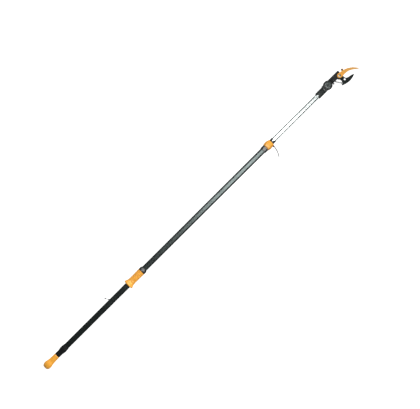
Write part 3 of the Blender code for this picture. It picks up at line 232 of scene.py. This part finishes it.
def mixed(tree, mask, first, second):
    """Mix of two colours, each a linear colour or a socket, by a mask from 0 to 1."""
    mix = add_node(tree, "ShaderNodeMix", {"data_type": "RGBA"}, {0: mask})
    for place, tone in ((6, first), (7, second)):
        if isinstance(tone, tuple):
            mix.inputs[place].default_value = (*tone, 1.0)
        else:
            tree.links.new(tone, mix.inputs[place])
    return mix.outputs[2]


def shaded(tone, share):
    return tuple(c * share for c in tone)


def worn_edges(tree, radius_mm, amount):
    """Mask that is 1 on outside edges, where use rubs the finish away."""
    bevel = add_node(tree, "ShaderNodeBevel", {"samples": 4, "Radius": radius_mm * MM})
    flat = add_node(tree, "ShaderNodeNewGeometry").outputs["Normal"]
    dot = add_node(tree, "ShaderNodeVectorMath", {"operation": "DOT_PRODUCT"},
                   {0: bevel.outputs["Normal"], 1: flat}).outputs["Value"]
    return spread(tree, dot, amount, 0.0, 0.86, 0.97)


def plastic(name, tone, roughness, grain_mm=0.6, depth=0.02, ior=1.49, coat=0.0, dust=0.0):
    """Injection-moulded plastic: soft clouding, spark-eroded grain, rubbed streaks, a little dust.

    The grain is coarser than the real 0.1 mm so that it still shows at this scale.
    """
    made, tree, shader, place = new_material(name, roughness, 0.0, ior, coat)
    tone = tuple(tone)
    colour = mixed(tree, spread(tree, noise(tree, place, 25), 0.0, 1.0), shaded(tone, 0.86), tone)
    if dust:
        colour = mixed(tree, spread(tree, noise(tree, place, 9, 6.0), 0.0, dust, 0.5, 0.8), colour,
                       linear("#A9A79F"))
    tree.links.new(colour, shader.inputs["Base Color"])
    streaks = noise(tree, place, (28, 2.0, 2.0), 5.0)
    tree.links.new(spread(tree, streaks, roughness * 0.9, min(1.0, roughness * 1.15)),
                   shader.inputs["Roughness"])
    bump = add_node(tree, "ShaderNodeBump", {"Strength": 0.6, "Distance": depth * MM},
                    {"Height": noise(tree, place, grain_mm, 2.0)})
    tree.links.new(bump.outputs["Normal"], shader.inputs["Normal"])
    return made


def metal(name, tone, roughness, lines_mm=(140, 0.35, 0.35), depth=0.006, clouds=0.85,
          metallic=1.0, worn=None):
    """Drawn, turned or ground metal: fine tool lines, clouded tone and rubbed edges."""
    made, tree, shader, place = new_material(name, roughness, metallic)
    tone = tuple(tone)
    lines = noise(tree, place, lines_mm, 3.0)
    colour = mixed(tree, spread(tree, noise(tree, place, 55, 4.0), 0.0, 1.0), shaded(tone, clouds),
                   tone)
    if worn:
        colour = mixed(tree, worn_edges(tree, 0.5, 0.75), colour, worn)
    tree.links.new(colour, shader.inputs["Base Color"])
    tree.links.new(spread(tree, lines, roughness * 0.8, roughness * 1.25),
                   shader.inputs["Roughness"])
    bump = add_node(tree, "ShaderNodeBump", {"Strength": 0.4, "Distance": depth * MM},
                    {"Height": lines})
    tree.links.new(bump.outputs["Normal"], shader.inputs["Normal"])
    return made


def looks(kind):
    """The material of one kind, made the first time it is asked for."""
    if kind in bpy.data.materials:
        return bpy.data.materials[kind]
    tones = bpy.context.scene.tree_pruner_finish
    if kind == "orange_polypropylene_moulded":      # bright, slightly soft grip plastic
        return plastic(kind, tones.orange_plastic, 0.42, 0.7, 0.02)
    if kind == "orange_powder_coat_steel":          # even paint skin, steel shows at rubbed edges
        return powder_coat(kind, tones.orange_paint)
    if kind == "black_nylon_moulded":               # dark fine-grained body that catches dust
        return plastic(kind, tones.black_plastic, 0.3, 0.55, 0.02, 1.53, dust=0.02)
    if kind == "charcoal_nylon_moulded":            # nearly black socket, a shade above the casings
        return plastic(kind, shaded(tones.grey_plastic, 0.4), 0.36, 0.6, 0.02, 1.53, dust=0.02)
    if kind == "grey_nylon_moulded":                # mid grey glass-filled plastic, drier sheen
        return plastic(kind, tones.grey_plastic, 0.42, 0.6, 0.02, 1.53, dust=0.05)
    if kind == "black_aluminium_anodised":          # dense black skin with long drawn lines
        return metal(kind, tones.black_tube, 0.3, clouds=0.8)
    if kind == "silver_aluminium_anodised":         # pale satin metal with long drawn lines
        return metal(kind, tones.silver_tube, 0.27, clouds=0.93)
    if kind == "carbon_steel_ptfe_coated":          # dark grey-green coat, bright where it rubs
        return metal(kind, tones.blade_coat, 0.36, (1.1, 1.1, 1.1), 0.01, 0.7, 0.7,
                     linear("#6C7472"))
    if kind == "carbon_steel_ground":               # bright ground edge with fine cross scratches
        return metal(kind, linear("#A9B0AF"), 0.28, (0.3, 6.0, 6.0), 0.004, 0.85)
    if kind == "steel_zinc_plated":                 # bright cool fasteners, lightly clouded
        return metal(kind, tones.bright_steel, 0.3, (0.7, 0.7, 0.7), 0.006, 0.8)
    if kind == "steel_grey_phosphated":             # matt warm grey skin on the pivot bolt
        return metal(kind, linear("#8F8A80"), 0.4, (0.8, 0.8, 0.8), 0.008, 0.8)
    if kind == "steel_black_oxide":                 # dark, slightly oily, with paler worn edges
        return metal(kind, tones.black_steel, 0.34, (0.8, 0.8, 0.8), 0.008, 0.75, 0.8,
                     linear("#5B605F"))
    return woven(kind, tones.webbing)               # dull dark straps and cord of crossing threads


def powder_coat(name, tone):
    """Even orange paint with faint orange peel, thinned to grey steel towards the hook's tip."""
    made, tree, shader, place = new_material(name, 0.36, 0.0, 1.5, 0.1)
    tone = tuple(tone)
    paint = mixed(tree, spread(tree, noise(tree, place, 18), 0.0, 1.0), shaded(tone, 0.9), tone)
    along = add_node(tree, "ShaderNodeSeparateXYZ", {}, {"Vector": place}).outputs["X"]
    low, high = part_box("hook_jaw")
    tip = spread(tree, along, 0.0, 0.55, low.x + 0.45 * (high.x - low.x), high.x)
    scratch = spread(tree, noise(tree, place, (1.2, 5.0, 5.0), 5.0), 0.35, 1.0)
    worn = add_node(tree, "ShaderNodeMath", {"operation": "MULTIPLY"}, {0: tip, 1: scratch})
    colour = mixed(tree, worn.outputs["Value"], paint, linear("#A8A284"))
    colour = mixed(tree, worn_edges(tree, 0.5, 0.5), colour, linear("#B9B39A"))
    tree.links.new(colour, shader.inputs["Base Color"])
    tree.links.new(spread(tree, noise(tree, place, 6, 5.0), 0.3, 0.46), shader.inputs["Roughness"])
    bump = add_node(tree, "ShaderNodeBump", {"Strength": 0.5, "Distance": 0.02 * MM},
                    {"Height": noise(tree, place, 1.4, 2.0)})
    tree.links.new(bump.outputs["Normal"], shader.inputs["Normal"])
    return made


def woven(name, tone):
    """Flat woven strap: crossing threads 1 mm apart, dull and fuzzy."""
    made, tree, shader, place = new_material(name, 0.85)
    tone = tuple(tone)
    waves = [add_node(tree, "ShaderNodeTexWave",
                      {"bands_direction": way, "Scale": 1 / (6.3 * MM), "Distortion": 1.2},
                      {"Vector": place}).outputs["Fac"] for way in ("X", "Z")]
    threads = add_node(tree, "ShaderNodeMath", {"operation": "MAXIMUM"}, {0: waves[0], 1: waves[1]})
    tree.links.new(mixed(tree, threads.outputs["Value"], shaded(tone, 0.5), tone),
                   shader.inputs["Base Color"])
    bump = add_node(tree, "ShaderNodeBump", {"Strength": 0.8, "Distance": 0.1 * MM},
                    {"Height": threads.outputs["Value"]})
    tree.links.new(bump.outputs["Normal"], shader.inputs["Normal"])
    return made


KIND_OF_SLOT = {
    "black_anodised_tube": "black_aluminium_anodised",
    "silver_anodised_tube": "silver_aluminium_anodised",
    "orange_plastic": "orange_polypropylene_moulded",
    "orange_painted_steel": "orange_powder_coat_steel",
    "black_plastic": "black_nylon_moulded",
    "grey_plastic": "grey_nylon_moulded",
    "coated_blade_steel": "carbon_steel_ptfe_coated",
    "bright_steel": "steel_zinc_plated",
    "strap_webbing": "polyester_strap_woven",
}


def refine_all(nodes, edge):
    """Welded copies of solids, with edges rounded by so many mm as the real ones are."""
    for node in nodes:
        finish_piece(node + "_finished", welded(node), node, kind_of(node), edge * MM)


def repaint(nodes):
    """Carried-over solids keep their shape and take the finish of their slot."""
    for node in nodes:
        solid = frame["nodes"][node]
        solid.data.materials.clear()
        solid.data.materials.append(kind_of(node))
        solid.data.shade_smooth()
        solid.data.set_sharp_from_angle(angle=SHARP)


KIND_OF_NODE = {
    "tilt_fork": "charcoal_nylon_moulded",
    "pivot_bolt": "steel_grey_phosphated",
    "lock_pin": "steel_black_oxide",
    "tilt_bolt": "steel_black_oxide",
    "hook_stud": "steel_black_oxide",
    "casing_screw_1": "steel_black_oxide",
    "casing_screw_2": "steel_black_oxide",
    "casing_screw_3": "steel_black_oxide",
    "drum_axle": "steel_black_oxide",
}


def kind_of(node):
    return looks(KIND_OF_NODE.get(node) or KIND_OF_SLOT[SLOT_OF[node]])


# ---------------------------------------------------------------- shaped pieces
def welded(node):
    """Copy of a node's mesh with split vertices joined again and flat faces whole."""
    mesh = frame["nodes"][node].data.copy()
    mesh.name = node + "_finished"
    shape = bmesh.new()
    shape.from_mesh(mesh)
    bmesh.ops.remove_doubles(shape, verts=shape.verts, dist=0.004 * MM)
    bmesh.ops.dissolve_limit(shape, angle_limit=math.radians(0.6), verts=shape.verts,
                             edges=shape.edges)
    shape.to_mesh(mesh)
    shape.free()
    return mesh


def turned_part(node, outside, inside, name, steps=96, along="X", cutters=(), edge=0.3):
    """Turned hollow piece in a node's place: outside and inside are (mm along, mm radius)."""
    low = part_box(node)[0]
    centre = Vector((low.x, 0.0, POLE_Z)) if along == "X" else Vector((*middle(node).xy, low.z))
    profile = [(place * MM, radius * MM) for place, radius in outside + inside[::-1]]
    mesh = turned_mesh(name, profile, steps, ring=True, centre=centre, along=along)
    if cutters:
        mesh = carved(mesh, cutters)
    return finish_piece(name, mesh, node, kind_of(node), edge * MM)


def upright_tool(place, low, high, radius, steps=32, turn=0.0):
    """Closed upright cylinder or prism used for cutting."""
    mesh = turned_mesh("upright_tool", [(low, 0.0), (low, radius), (high, radius), (high, 0.0)],
                       steps, centre=(place[0], place[1], 0.0), along="Z")
    if turn:
        mesh.transform(Matrix.Translation((place[0], place[1], 0)) @ Matrix.Rotation(turn, 4, "Z")
                       @ Matrix.Translation((-place[0], -place[1], 0)))
    return mesh


def recessed(node, drive, size_mm, depth_mm, up=True):
    """Screw or bolt with a hexagon or cross recess sunk in the end that faces up or down."""
    low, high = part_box(node)
    x, y = middle(node).xy
    depth, size = depth_mm * MM, size_mm * MM
    start, end = (high.z - depth, high.z + depth) if up else (low.z - depth, low.z + depth)
    if drive == "hexagon":
        tools = [upright_tool((x, y), start, end, size / math.sqrt(3), 6)]
    else:
        bar = size / 5
        tools = [box_mesh((x - size / 2, y - bar / 2, start), (x + size / 2, y + bar / 2, end)),
                 box_mesh((x - bar / 2, y - size / 2, start), (x + bar / 2, y + size / 2, end))]
    finish_piece(node + "_finished", carved(welded(node), tools), node, kind_of(node), 0.12 * MM)


def wire_mesh(name, points, radius, sides=12):
    """Round wire through points, with closed ends."""
    curve = bpy.data.curves.new(name, "CURVE")
    curve.dimensions = "3D"
    curve.bevel_depth = radius
    curve.bevel_resolution = sides // 4
    curve.use_fill_caps = True
    spline = curve.splines.new("POLY")
    spline.points.add(len(points) - 1)
    for point, place in zip(spline.points, points):
        point.co = (*place, 1.0)
    holder = bpy.data.objects.new(name, curve)
    bpy.context.scene.collection.objects.link(holder)
    depsgraph = bpy.context.evaluated_depsgraph_get()
    mesh = bpy.data.meshes.new_from_object(holder.evaluated_get(depsgraph))
    bpy.data.objects.remove(holder, do_unlink=True)
    return mesh


# ---------------------------------------------------------------- sizes and colours
class TreePrunerFinish(bpy.types.PropertyGroup):
    """Colours of the pruner and the height of the camera."""
    orange_plastic: FloatVectorProperty(name="Orange plastic", description="Grips and clamp",
                                        subtype="COLOR", size=3, default=linear("#F9AC38"))
    orange_paint: FloatVectorProperty(name="Orange paint", description="Hooked jaw",
                                      subtype="COLOR", size=3, default=linear("#EDA53A"))
    black_plastic: FloatVectorProperty(name="Black plastic", description="Casings, cap, collars",
                                       subtype="COLOR", size=3, default=linear("#090A0B"))
    grey_plastic: FloatVectorProperty(name="Grey plastic", description="Socket and tilt knob",
                                      subtype="COLOR", size=3, default=linear("#333A38"))
    black_tube: FloatVectorProperty(name="Black tube", description="Anodised lower tube",
                                    subtype="COLOR", size=3, default=linear("#424847"))
    silver_tube: FloatVectorProperty(name="Silver tube", description="Anodised upper tube",
                                     subtype="COLOR", size=3, default=linear("#E2E8E6"))
    blade_coat: FloatVectorProperty(name="Blade coat", description="Coated moving blade",
                                    subtype="COLOR", size=3, default=linear("#1C2322"))
    bright_steel: FloatVectorProperty(name="Bright steel", description="Bolts, screws, spring",
                                      subtype="COLOR", size=3, default=linear("#C6C9CA"))
    black_steel: FloatVectorProperty(name="Black steel", description="Pin, tilt bolt and stud",
                                     subtype="COLOR", size=3, default=linear("#2A2D2E"))
    webbing: FloatVectorProperty(name="Strap", description="Woven strap and cord",
                                 subtype="COLOR", size=3, default=linear("#3A3C3C"))
    camera_height: FloatProperty(name="Camera height", description="Height over the floor",
                                 default=12.03, min=2.0, unit="LENGTH")


# ---------------------------------------------------------------- operators
class TREEPRUNER_OT_tubes(bpy.types.Operator):
    """Finish the two telescoping tubes and what slides inside them"""
    bl_idname = "tree_pruner.tubes"
    bl_label = "Tubes"

    def execute(self, context):
        refine_all(("outer_tube", "inner_tube"), 0.2)
        repaint(("inner_tube_bush", "stop_bush", "stop_rivet", "pole_strap", "shuttle",
                 "pull_cord"))
        return {"FINISHED"}


class TREEPRUNER_OT_butt_end(bpy.types.Operator):
    """Finish the pull knob, its ferrule, the end cap and the lock pin"""
    bl_idname = "tree_pruner.butt_end"
    bl_label = "Butt end"

    def execute(self, context):
        low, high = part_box("end_knob")
        radius, length = (high.y - low.y) / 2 / MM, (high.x - low.x) / MM
        swell = smooth_run([(0.0, 0.42), (0.010, 0.56), (0.045, 0.74), (0.12, 0.935), (0.21, 0.995),
                            (0.28, 0.995), (0.38, 0.925), (0.53, 0.80), (0.70, 0.757),
                            (0.88, 0.748), (0.955, 0.72), (0.992, 0.66)], 6)
        outside = [(min(p[0], 0.992) * length, min(p[1], 0.998) * radius) for p in swell]
        for groove in (0.80, 0.84, 0.88):
            outside = [(x, r - 0.5 * math.exp(-((x / length - groove) / 0.006) ** 2))
                       for x, r in outside]
        inside = [(0.0, 4.5), (30.0, 4.5), (30.5, 1.8), (length, 1.8)]
        turned_part("end_knob", outside, inside, "end_knob_finished", edge=0.2)
        refine_all(("end_cap", "lock_pin_bush"), 0.4)
        recessed("end_cap_screw", "cross", 2.4, 0.8, up=False)
        self.lock_pin()
        repaint(("cord_ferrule",))
        return {"FINISHED"}

    @staticmethod
    def lock_pin():
        """Slim stem along the slanted pin's line, with a ball at its outer end."""
        points = [v.co for v in frame["nodes"]["lock_pin"].data.vertices]
        outer, inner = max(p.y for p in points), min(p.y for p in points)
        tip_points = [p for p in points if p.y < inner + TIP_DEPTH * MM]
        tip = sum(tip_points, Vector()) / max(1, len(tip_points))
        ball_r = BALL_RADIUS * MM
        knob_points = [p for p in points if p.y > outer - 2 * ball_r]
        ball = Vector(((min(p.x for p in knob_points) + max(p.x for p in knob_points)) / 2,
                       outer - ball_r, POLE_Z))
        line = ball - tip
        length, stem_r = line.length / MM, STEM_RADIUS
        profile = [(0.0, 0.0), (0.0, 1.1), (0.5, stem_r), (length - 5.2, stem_r),
                   (length - 4.6, 2.3), (length - 3.6, 2.3), (length - 3.2, 1.5)]
        profile += [(length - 3.3 * math.cos(a), 3.3 * math.sin(a))
                    for a in (math.pi * k / 14 for k in range(2, 14))] + [(length + 3.3, 0.0)]
        mesh = turned_mesh("lock_pin_finished", [(x * MM, r * MM) for x, r in profile], 48)
        mesh.transform(Matrix.Translation(tip) @ line.to_track_quat("X", "Z").to_matrix().to_4x4())
        finish_piece("lock_pin_finished", mesh, "lock_pin", looks("steel_black_oxide"))


class TREEPRUNER_OT_slide_handle(bpy.types.Operator):
    """Finish the sliding handle, its collar and screws"""
    bl_idname = "tree_pruner.slide_handle"
    bl_label = "Slide handle"

    def execute(self, context):
        low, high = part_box("slide_handle")
        rim = (high.y - low.y) / 2 / MM
        length = (high.x - low.x) / MM
        bell = smooth_run([(0.0, rim - 2.4), (0.8, rim - 0.7), (2.6, rim - 0.05), (5.0, rim - 0.1),
                           (9.5, rim - 1.3), (15.0, rim - 3.6), (24.0, rim - 6.7),
                           (36.0, rim - 7.6)], 5)
        outside = [(p[0], min(p[1], rim)) for p in bell]
        for k in range(121):
            place = 36.3 + k * 0.5
            if place < length - 6.5:
                wave = 0.5 - 0.5 * math.cos(2 * math.pi * (place - 37.0) / 6.0)
                groove = 0.75 * wave ** 6 if 38.0 < place < length - 14.0 else 0.0
                outside.append((place, rim - 7.75 + 0.5 * max(0.0, place - 60.0) / 40.0 - groove))
        outside += [(length - 5.0, rim - 7.0), (length - 1.4, rim - 7.2), (length, rim - 8.6)]
        inside = [(0.0, 16.4), (length, 16.4)]
        tools = [box_mesh((low.x - 0.01, -0.04, -0.02), (low.x + 0.03, 0.04, 0.0))]
        for node in ("handle_screw_rear", "handle_screw_front"):
            tools.append(upright_tool(middle(node).xy, -0.01, POLE_Z - 18.8 * MM, 4.3 * MM))
            tools.append(upright_tool(middle(node).xy, -0.01, POLE_Z - 10.0 * MM, 2.3 * MM))
        turned_part("slide_handle", outside, inside, "slide_handle_finished", cutters=tools,
                    edge=0.2)
        refine_all(("handle_collar",), 0.5)
        recessed("collar_screw", "cross", 4.6, 1.1)
        for node in ("handle_screw_rear", "handle_screw_front"):
            recessed(node, "cross", 4.8, 1.4, up=False)
        return {"FINISHED"}


class TREEPRUNER_OT_clamp(bpy.types.Operator):
    """Finish the telescope clamp, its collet, bolt and lever"""
    bl_idname = "tree_pruner.clamp"
    bl_label = "Telescope clamp"

    def execute(self, context):
        refine_all(("clamp_sleeve", "clamp_body", "clamp_collet", "clamp_lever"), 0.5)
        refine_all(("clamp_bolt", "clamp_nut"), 0.25)
        return {"FINISHED"}


class TREEPRUNER_OT_tilt_joint(bpy.types.Operator):
    """Finish the socket, the fork, the tilt bolt and its knob"""
    bl_idname = "tree_pruner.tilt_joint"
    bl_label = "Tilt joint"

    def execute(self, context):
        refine_all(("tilt_fork",), 0.5)
        low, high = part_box("tilt_knob")
        radius, height = (high.x - low.x) / 2 / MM, (high.z - low.z) / MM
        outside = [(0.0, radius - 1.0), (0.5, radius - 0.25), (1.2, radius), (height - 3.4, radius),
                   (height - 2.2, radius - 0.5), (height - 0.9, radius - 2.3),
                   (height - 0.1, radius - 5.4), (height, radius - 7.0), (height, radius - 9.0),
                   (height - 0.9, radius - 9.6)]
        inside = [(0.0, 4.3), (height - 0.9, 4.3)]
        centre = middle("tilt_knob")
        tools = []
        for k in range(KNOB_SCALLOPS):
            a = 2 * math.pi * (k + 0.5) / KNOB_SCALLOPS
            spot = centre.xy + (radius + 2.2) * MM * Vector((math.cos(a), math.sin(a)))
            tools.append(upright_tool(spot, low.z - 0.003, high.z + 0.003, 4.25 * MM))
        turned_part("tilt_knob", outside, inside, "tilt_knob_finished", along="Z", cutters=tools,
                    edge=0.5)
        recessed("tilt_bolt", "hexagon", 5.0, 2.0, up=False)
        recessed("socket_screw", "hexagon", 1.8, 0.8, up=False)
        repaint(("guide_pulley", "pulley_spacer"))
        return {"FINISHED"}


class TREEPRUNER_OT_casings(bpy.types.Operator):
    """Finish the two casing halves and the pieces inside them"""
    bl_idname = "tree_pruner.casings"
    bl_label = "Casings"

    def execute(self, context):
        refine_all(("head_casing_lower", "head_casing_upper"), 0.5)
        for node in ("casing_screw_1", "casing_screw_2", "casing_screw_3"):
            recessed(node, "cross", 3.0, 0.8)
        refine_all(("spring_post_head",), 0.2)
        repaint(("drum_axle", "strap_drum"))
        self.bending_strap()
        return {"FINISHED"}

    @staticmethod
    def bending_strap():
        """Strap beside the guide pulley, cut crosswise at even steps from its low end."""
        mesh = welded("head_strap")
        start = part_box("head_strap")[0].x
        shape = bmesh.new()
        shape.from_mesh(mesh)
        for k in range(1, STRAP_FOLDS + 1):
            whole = shape.verts[:] + shape.edges[:] + shape.faces[:]
            bmesh.ops.bisect_plane(shape, geom=whole,
                                   plane_co=(start + k * FOLD_PITCH * MM, 0.0, 0.0),
                                   plane_no=(1.0, 0.0, 0.0))
        shape.to_mesh(mesh)
        shape.free()
        mesh.materials.clear()
        mesh.materials.append(kind_of("head_strap"))
        strap = bpy.data.objects.new("head_strap_finished", mesh)
        bpy.context.scene.collection.objects.link(strap)
        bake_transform(strap)
        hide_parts("head_strap")


class TREEPRUNER_OT_jaws(bpy.types.Operator):
    """Finish the hooked jaw, the blade, the pivot and the return spring"""
    bl_idname = "tree_pruner.jaws"
    bl_label = "Jaws"

    def execute(self, context):
        refine_all(("hook_jaw",), 0.7)
        recessed("pivot_bolt", "hexagon", 5.0, 1.8)
        recessed("hook_stud", "hexagon", 2.5, 1.2)
        refine_all(("pivot_nut", "spring_post_blade"), 0.25)
        self.ground_blade()
        self.coil_spring()
        return {"FINISHED"}

    @staticmethod
    def ground_blade():
        """Blade with a wide ground bevel along its cutting edge."""
        mesh = welded("blade")
        pivot = middle("pivot_bolt")
        run = smooth_run([(0.0620, -0.0478), (0.0520, -0.0438), (0.0400, -0.0408),
                          (0.0290, -0.0388), (0.0185, -0.0342), (0.0138, -0.0260),
                          (0.0130, -0.0150)], 8)
        run = [Vector((pivot.x + p[0], pivot.y + p[1])) for p in run]
        top = max(v.co.z for v in mesh.vertices)
        width = BEVEL_WIDTH * MM
        moved = set()
        for vertex in mesh.vertices:
            gaps = [(vertex.co.xy - p).length for p in run]
            near = min(range(len(run)), key=gaps.__getitem__)
            if gaps[near] > 0.7 * MM or vertex.co.z < top - 0.1 * MM:
                continue
            ahead = run[min(near + 1, len(run) - 1)] - run[max(near - 1, 0)]
            share = math.sin(math.pi * min(1.0, (near + 1) / len(run) * 1.02)) ** 0.4
            inwards = Vector((-ahead.y, ahead.x)).normalized()
            vertex.co.xy += inwards * width * share
            moved.add(vertex.index)
        finish_piece("blade_finished", mesh, "blade", kind_of("blade"))
        mesh.materials.append(looks("carbon_steel_ground"))
        for face in mesh.polygons:
            if 0.15 < face.normal.z < 0.97 and moved.intersection(face.vertices):
                face.material_index = 1

    @staticmethod
    def coil_spring():
        """Close-wound extension spring whose hooks hold the two posts."""
        low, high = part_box("return_spring")
        level = (low.z + high.z) / 2
        ends = []
        for node in ("spring_post_head", "spring_post_blade"):
            ends.append(Vector((*middle(node).xy, level)))
        along = (ends[1] - ends[0]).normalized()
        up = Vector((0, 0, 1))
        side = along.cross(up)
        wire, coil_r, hook_r = 0.5 * MM, 2.7 * MM, 2.15 * MM
        turns, per_turn = 15, 20
        first, last = ends[0] + along * (hook_r + 1.6 * MM), ends[1] - along * (hook_r + 1.6 * MM)
        points = [ends[0] + hook_r * (math.cos(a) * along + math.sin(a) * side)
                  for a in (math.radians(-20 - 10 * k) for k in range(29, -1, -1))]
        count = turns * per_turn
        points += [first.lerp(last, k / count) + coil_r * (math.cos(a) * side + math.sin(a) * up)
                   for k, a in ((k, 2 * math.pi * k / per_turn) for k in range(count + 1))]
        points += [ends[1] + hook_r * (-math.cos(a) * along + math.sin(a) * side)
                   for a in (math.radians(20 + 10 * k) for k in range(30))]
        mesh = wire_mesh("return_spring_finished", points, wire)
        mesh.materials.append(looks("steel_zinc_plated"))
        mesh.shade_smooth()
        spring = bpy.data.objects.new("return_spring_finished", mesh)
        bpy.context.scene.collection.objects.link(spring)
        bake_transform(spring)
        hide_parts("return_spring")


class TREEPRUNER_OT_stage(bpy.types.Operator):
    """Set up the pale floor, the soft lights and the camera"""
    bl_idname = "tree_pruner.stage"
    bl_label = "Stage"

    def execute(self, context):
        floor_mesh = box_mesh((-FLOOR_HALF, -FLOOR_HALF, -0.02), (FLOOR_HALF, FLOOR_HALF, 0))
        floor = bpy.data.objects.new("studio_floor", floor_mesh)
        context.scene.collection.objects.link(floor)
        made, _, shader, _ = new_material("studio_paper_matte", 0.9)
        shader.inputs["Base Color"].default_value = (0.35, 0.35, 0.35, 1.0)
        shader.inputs["Emission Color"].default_value = (1.0, 1.0, 1.0, 1.0)
        shader.inputs["Emission Strength"].default_value = 1.0
        floor_mesh.materials.append(made)
        floor.visible_glossy = False
        fill = bpy.data.lights.new("fill_light", "SUN")
        fill.energy = 3.5
        fill.angle = math.radians(30)
        fill_light = bpy.data.objects.new("fill_light", fill)
        fill_light.rotation_euler = (0.0, math.radians(44), 0.0)
        fill_light.visible_glossy = False
        context.scene.collection.objects.link(fill_light)
        self.softbox(context, "softbox_strong", -0.19, 0.56, 92.0)
        self.softbox(context, "softbox_faded", -0.64, 0.34, 6.0)
        self.softbox(context, "softbox_upper", 0.26, 0.34, 7.0)
        context.scene.view_settings.view_transform = "Standard"
        world = bpy.data.worlds.new("studio")
        context.scene.world = world
        world.use_nodes = True
        world.node_tree.nodes["Background"].inputs["Color"].default_value = (0.17, 0.19, 0.19, 1.0)
        height = context.scene.tree_pruner_finish.camera_height
        lens = bpy.data.cameras.new("camera")
        lens.sensor_width = SENSOR_WIDTH
        lens.lens = SENSOR_WIDTH * (height - POLE_Z) / VIEW_WIDTH
        lens.clip_end = 100.0
        camera = bpy.data.objects.new("camera", lens)
        camera.location = (-0.4592, -0.0047, height)
        camera.rotation_euler = (0.0, 0.0, math.radians(-44.88))
        context.scene.collection.objects.link(camera)
        context.scene.camera = camera
        return {"FINISHED"}

    @staticmethod
    def softbox(context, name, place, width, power):
        """Long panel across the pole, seen in shiny surfaces only, that shines straight down."""
        lamp = bpy.data.lights.new(name, "AREA")
        lamp.shape = "RECTANGLE"
        lamp.size, lamp.size_y = width, PANEL_LENGTH
        lamp.energy = power
        panel = bpy.data.objects.new(name, lamp)
        panel.location = (place, 0.0, PANEL_HEIGHT)
        panel.visible_diffuse = False
        context.scene.collection.objects.link(panel)


OPERATORS = (TREEPRUNER_OT_tubes, TREEPRUNER_OT_butt_end, TREEPRUNER_OT_slide_handle,
             TREEPRUNER_OT_clamp, TREEPRUNER_OT_tilt_joint, TREEPRUNER_OT_casings,
             TREEPRUNER_OT_jaws, TREEPRUNER_OT_stage)


class TREEPRUNER_PT_panel(bpy.types.Panel):
    """Buttons for each group of pieces, with the finish settings"""
    bl_idname = "TREEPRUNER_PT_panel"
    bl_label = "Tree Pruner"
    bl_space_type = "VIEW_3D"
    bl_region_type = "UI"
    bl_category = "Tree Pruner"

    def draw(self, context):
        for operator in OPERATORS:
            self.layout.operator(operator.bl_idname)
        finish = context.scene.tree_pruner_finish
        for name in TreePrunerFinish.__annotations__:
            self.layout.prop(finish, name)


def register():
    bpy.utils.register_class(TreePrunerFinish)
    bpy.types.Scene.tree_pruner_finish = PointerProperty(type=TreePrunerFinish)
    for operator in OPERATORS:
        bpy.utils.register_class(operator)
    bpy.utils.register_class(TREEPRUNER_PT_panel)


def unregister():
    bpy.utils.unregister_class(TREEPRUNER_PT_panel)
    for operator in reversed(OPERATORS):
        bpy.utils.unregister_class(operator)
    del bpy.types.Scene.tree_pruner_finish
    bpy.utils.unregister_class(TreePrunerFinish)


def main():
    """Run every step in order."""
    register()
    for operator in OPERATORS:
        group, name = operator.bl_idname.split(".")
        getattr(getattr(bpy.ops, group), name)()


if __name__ == "__main__":
    main()
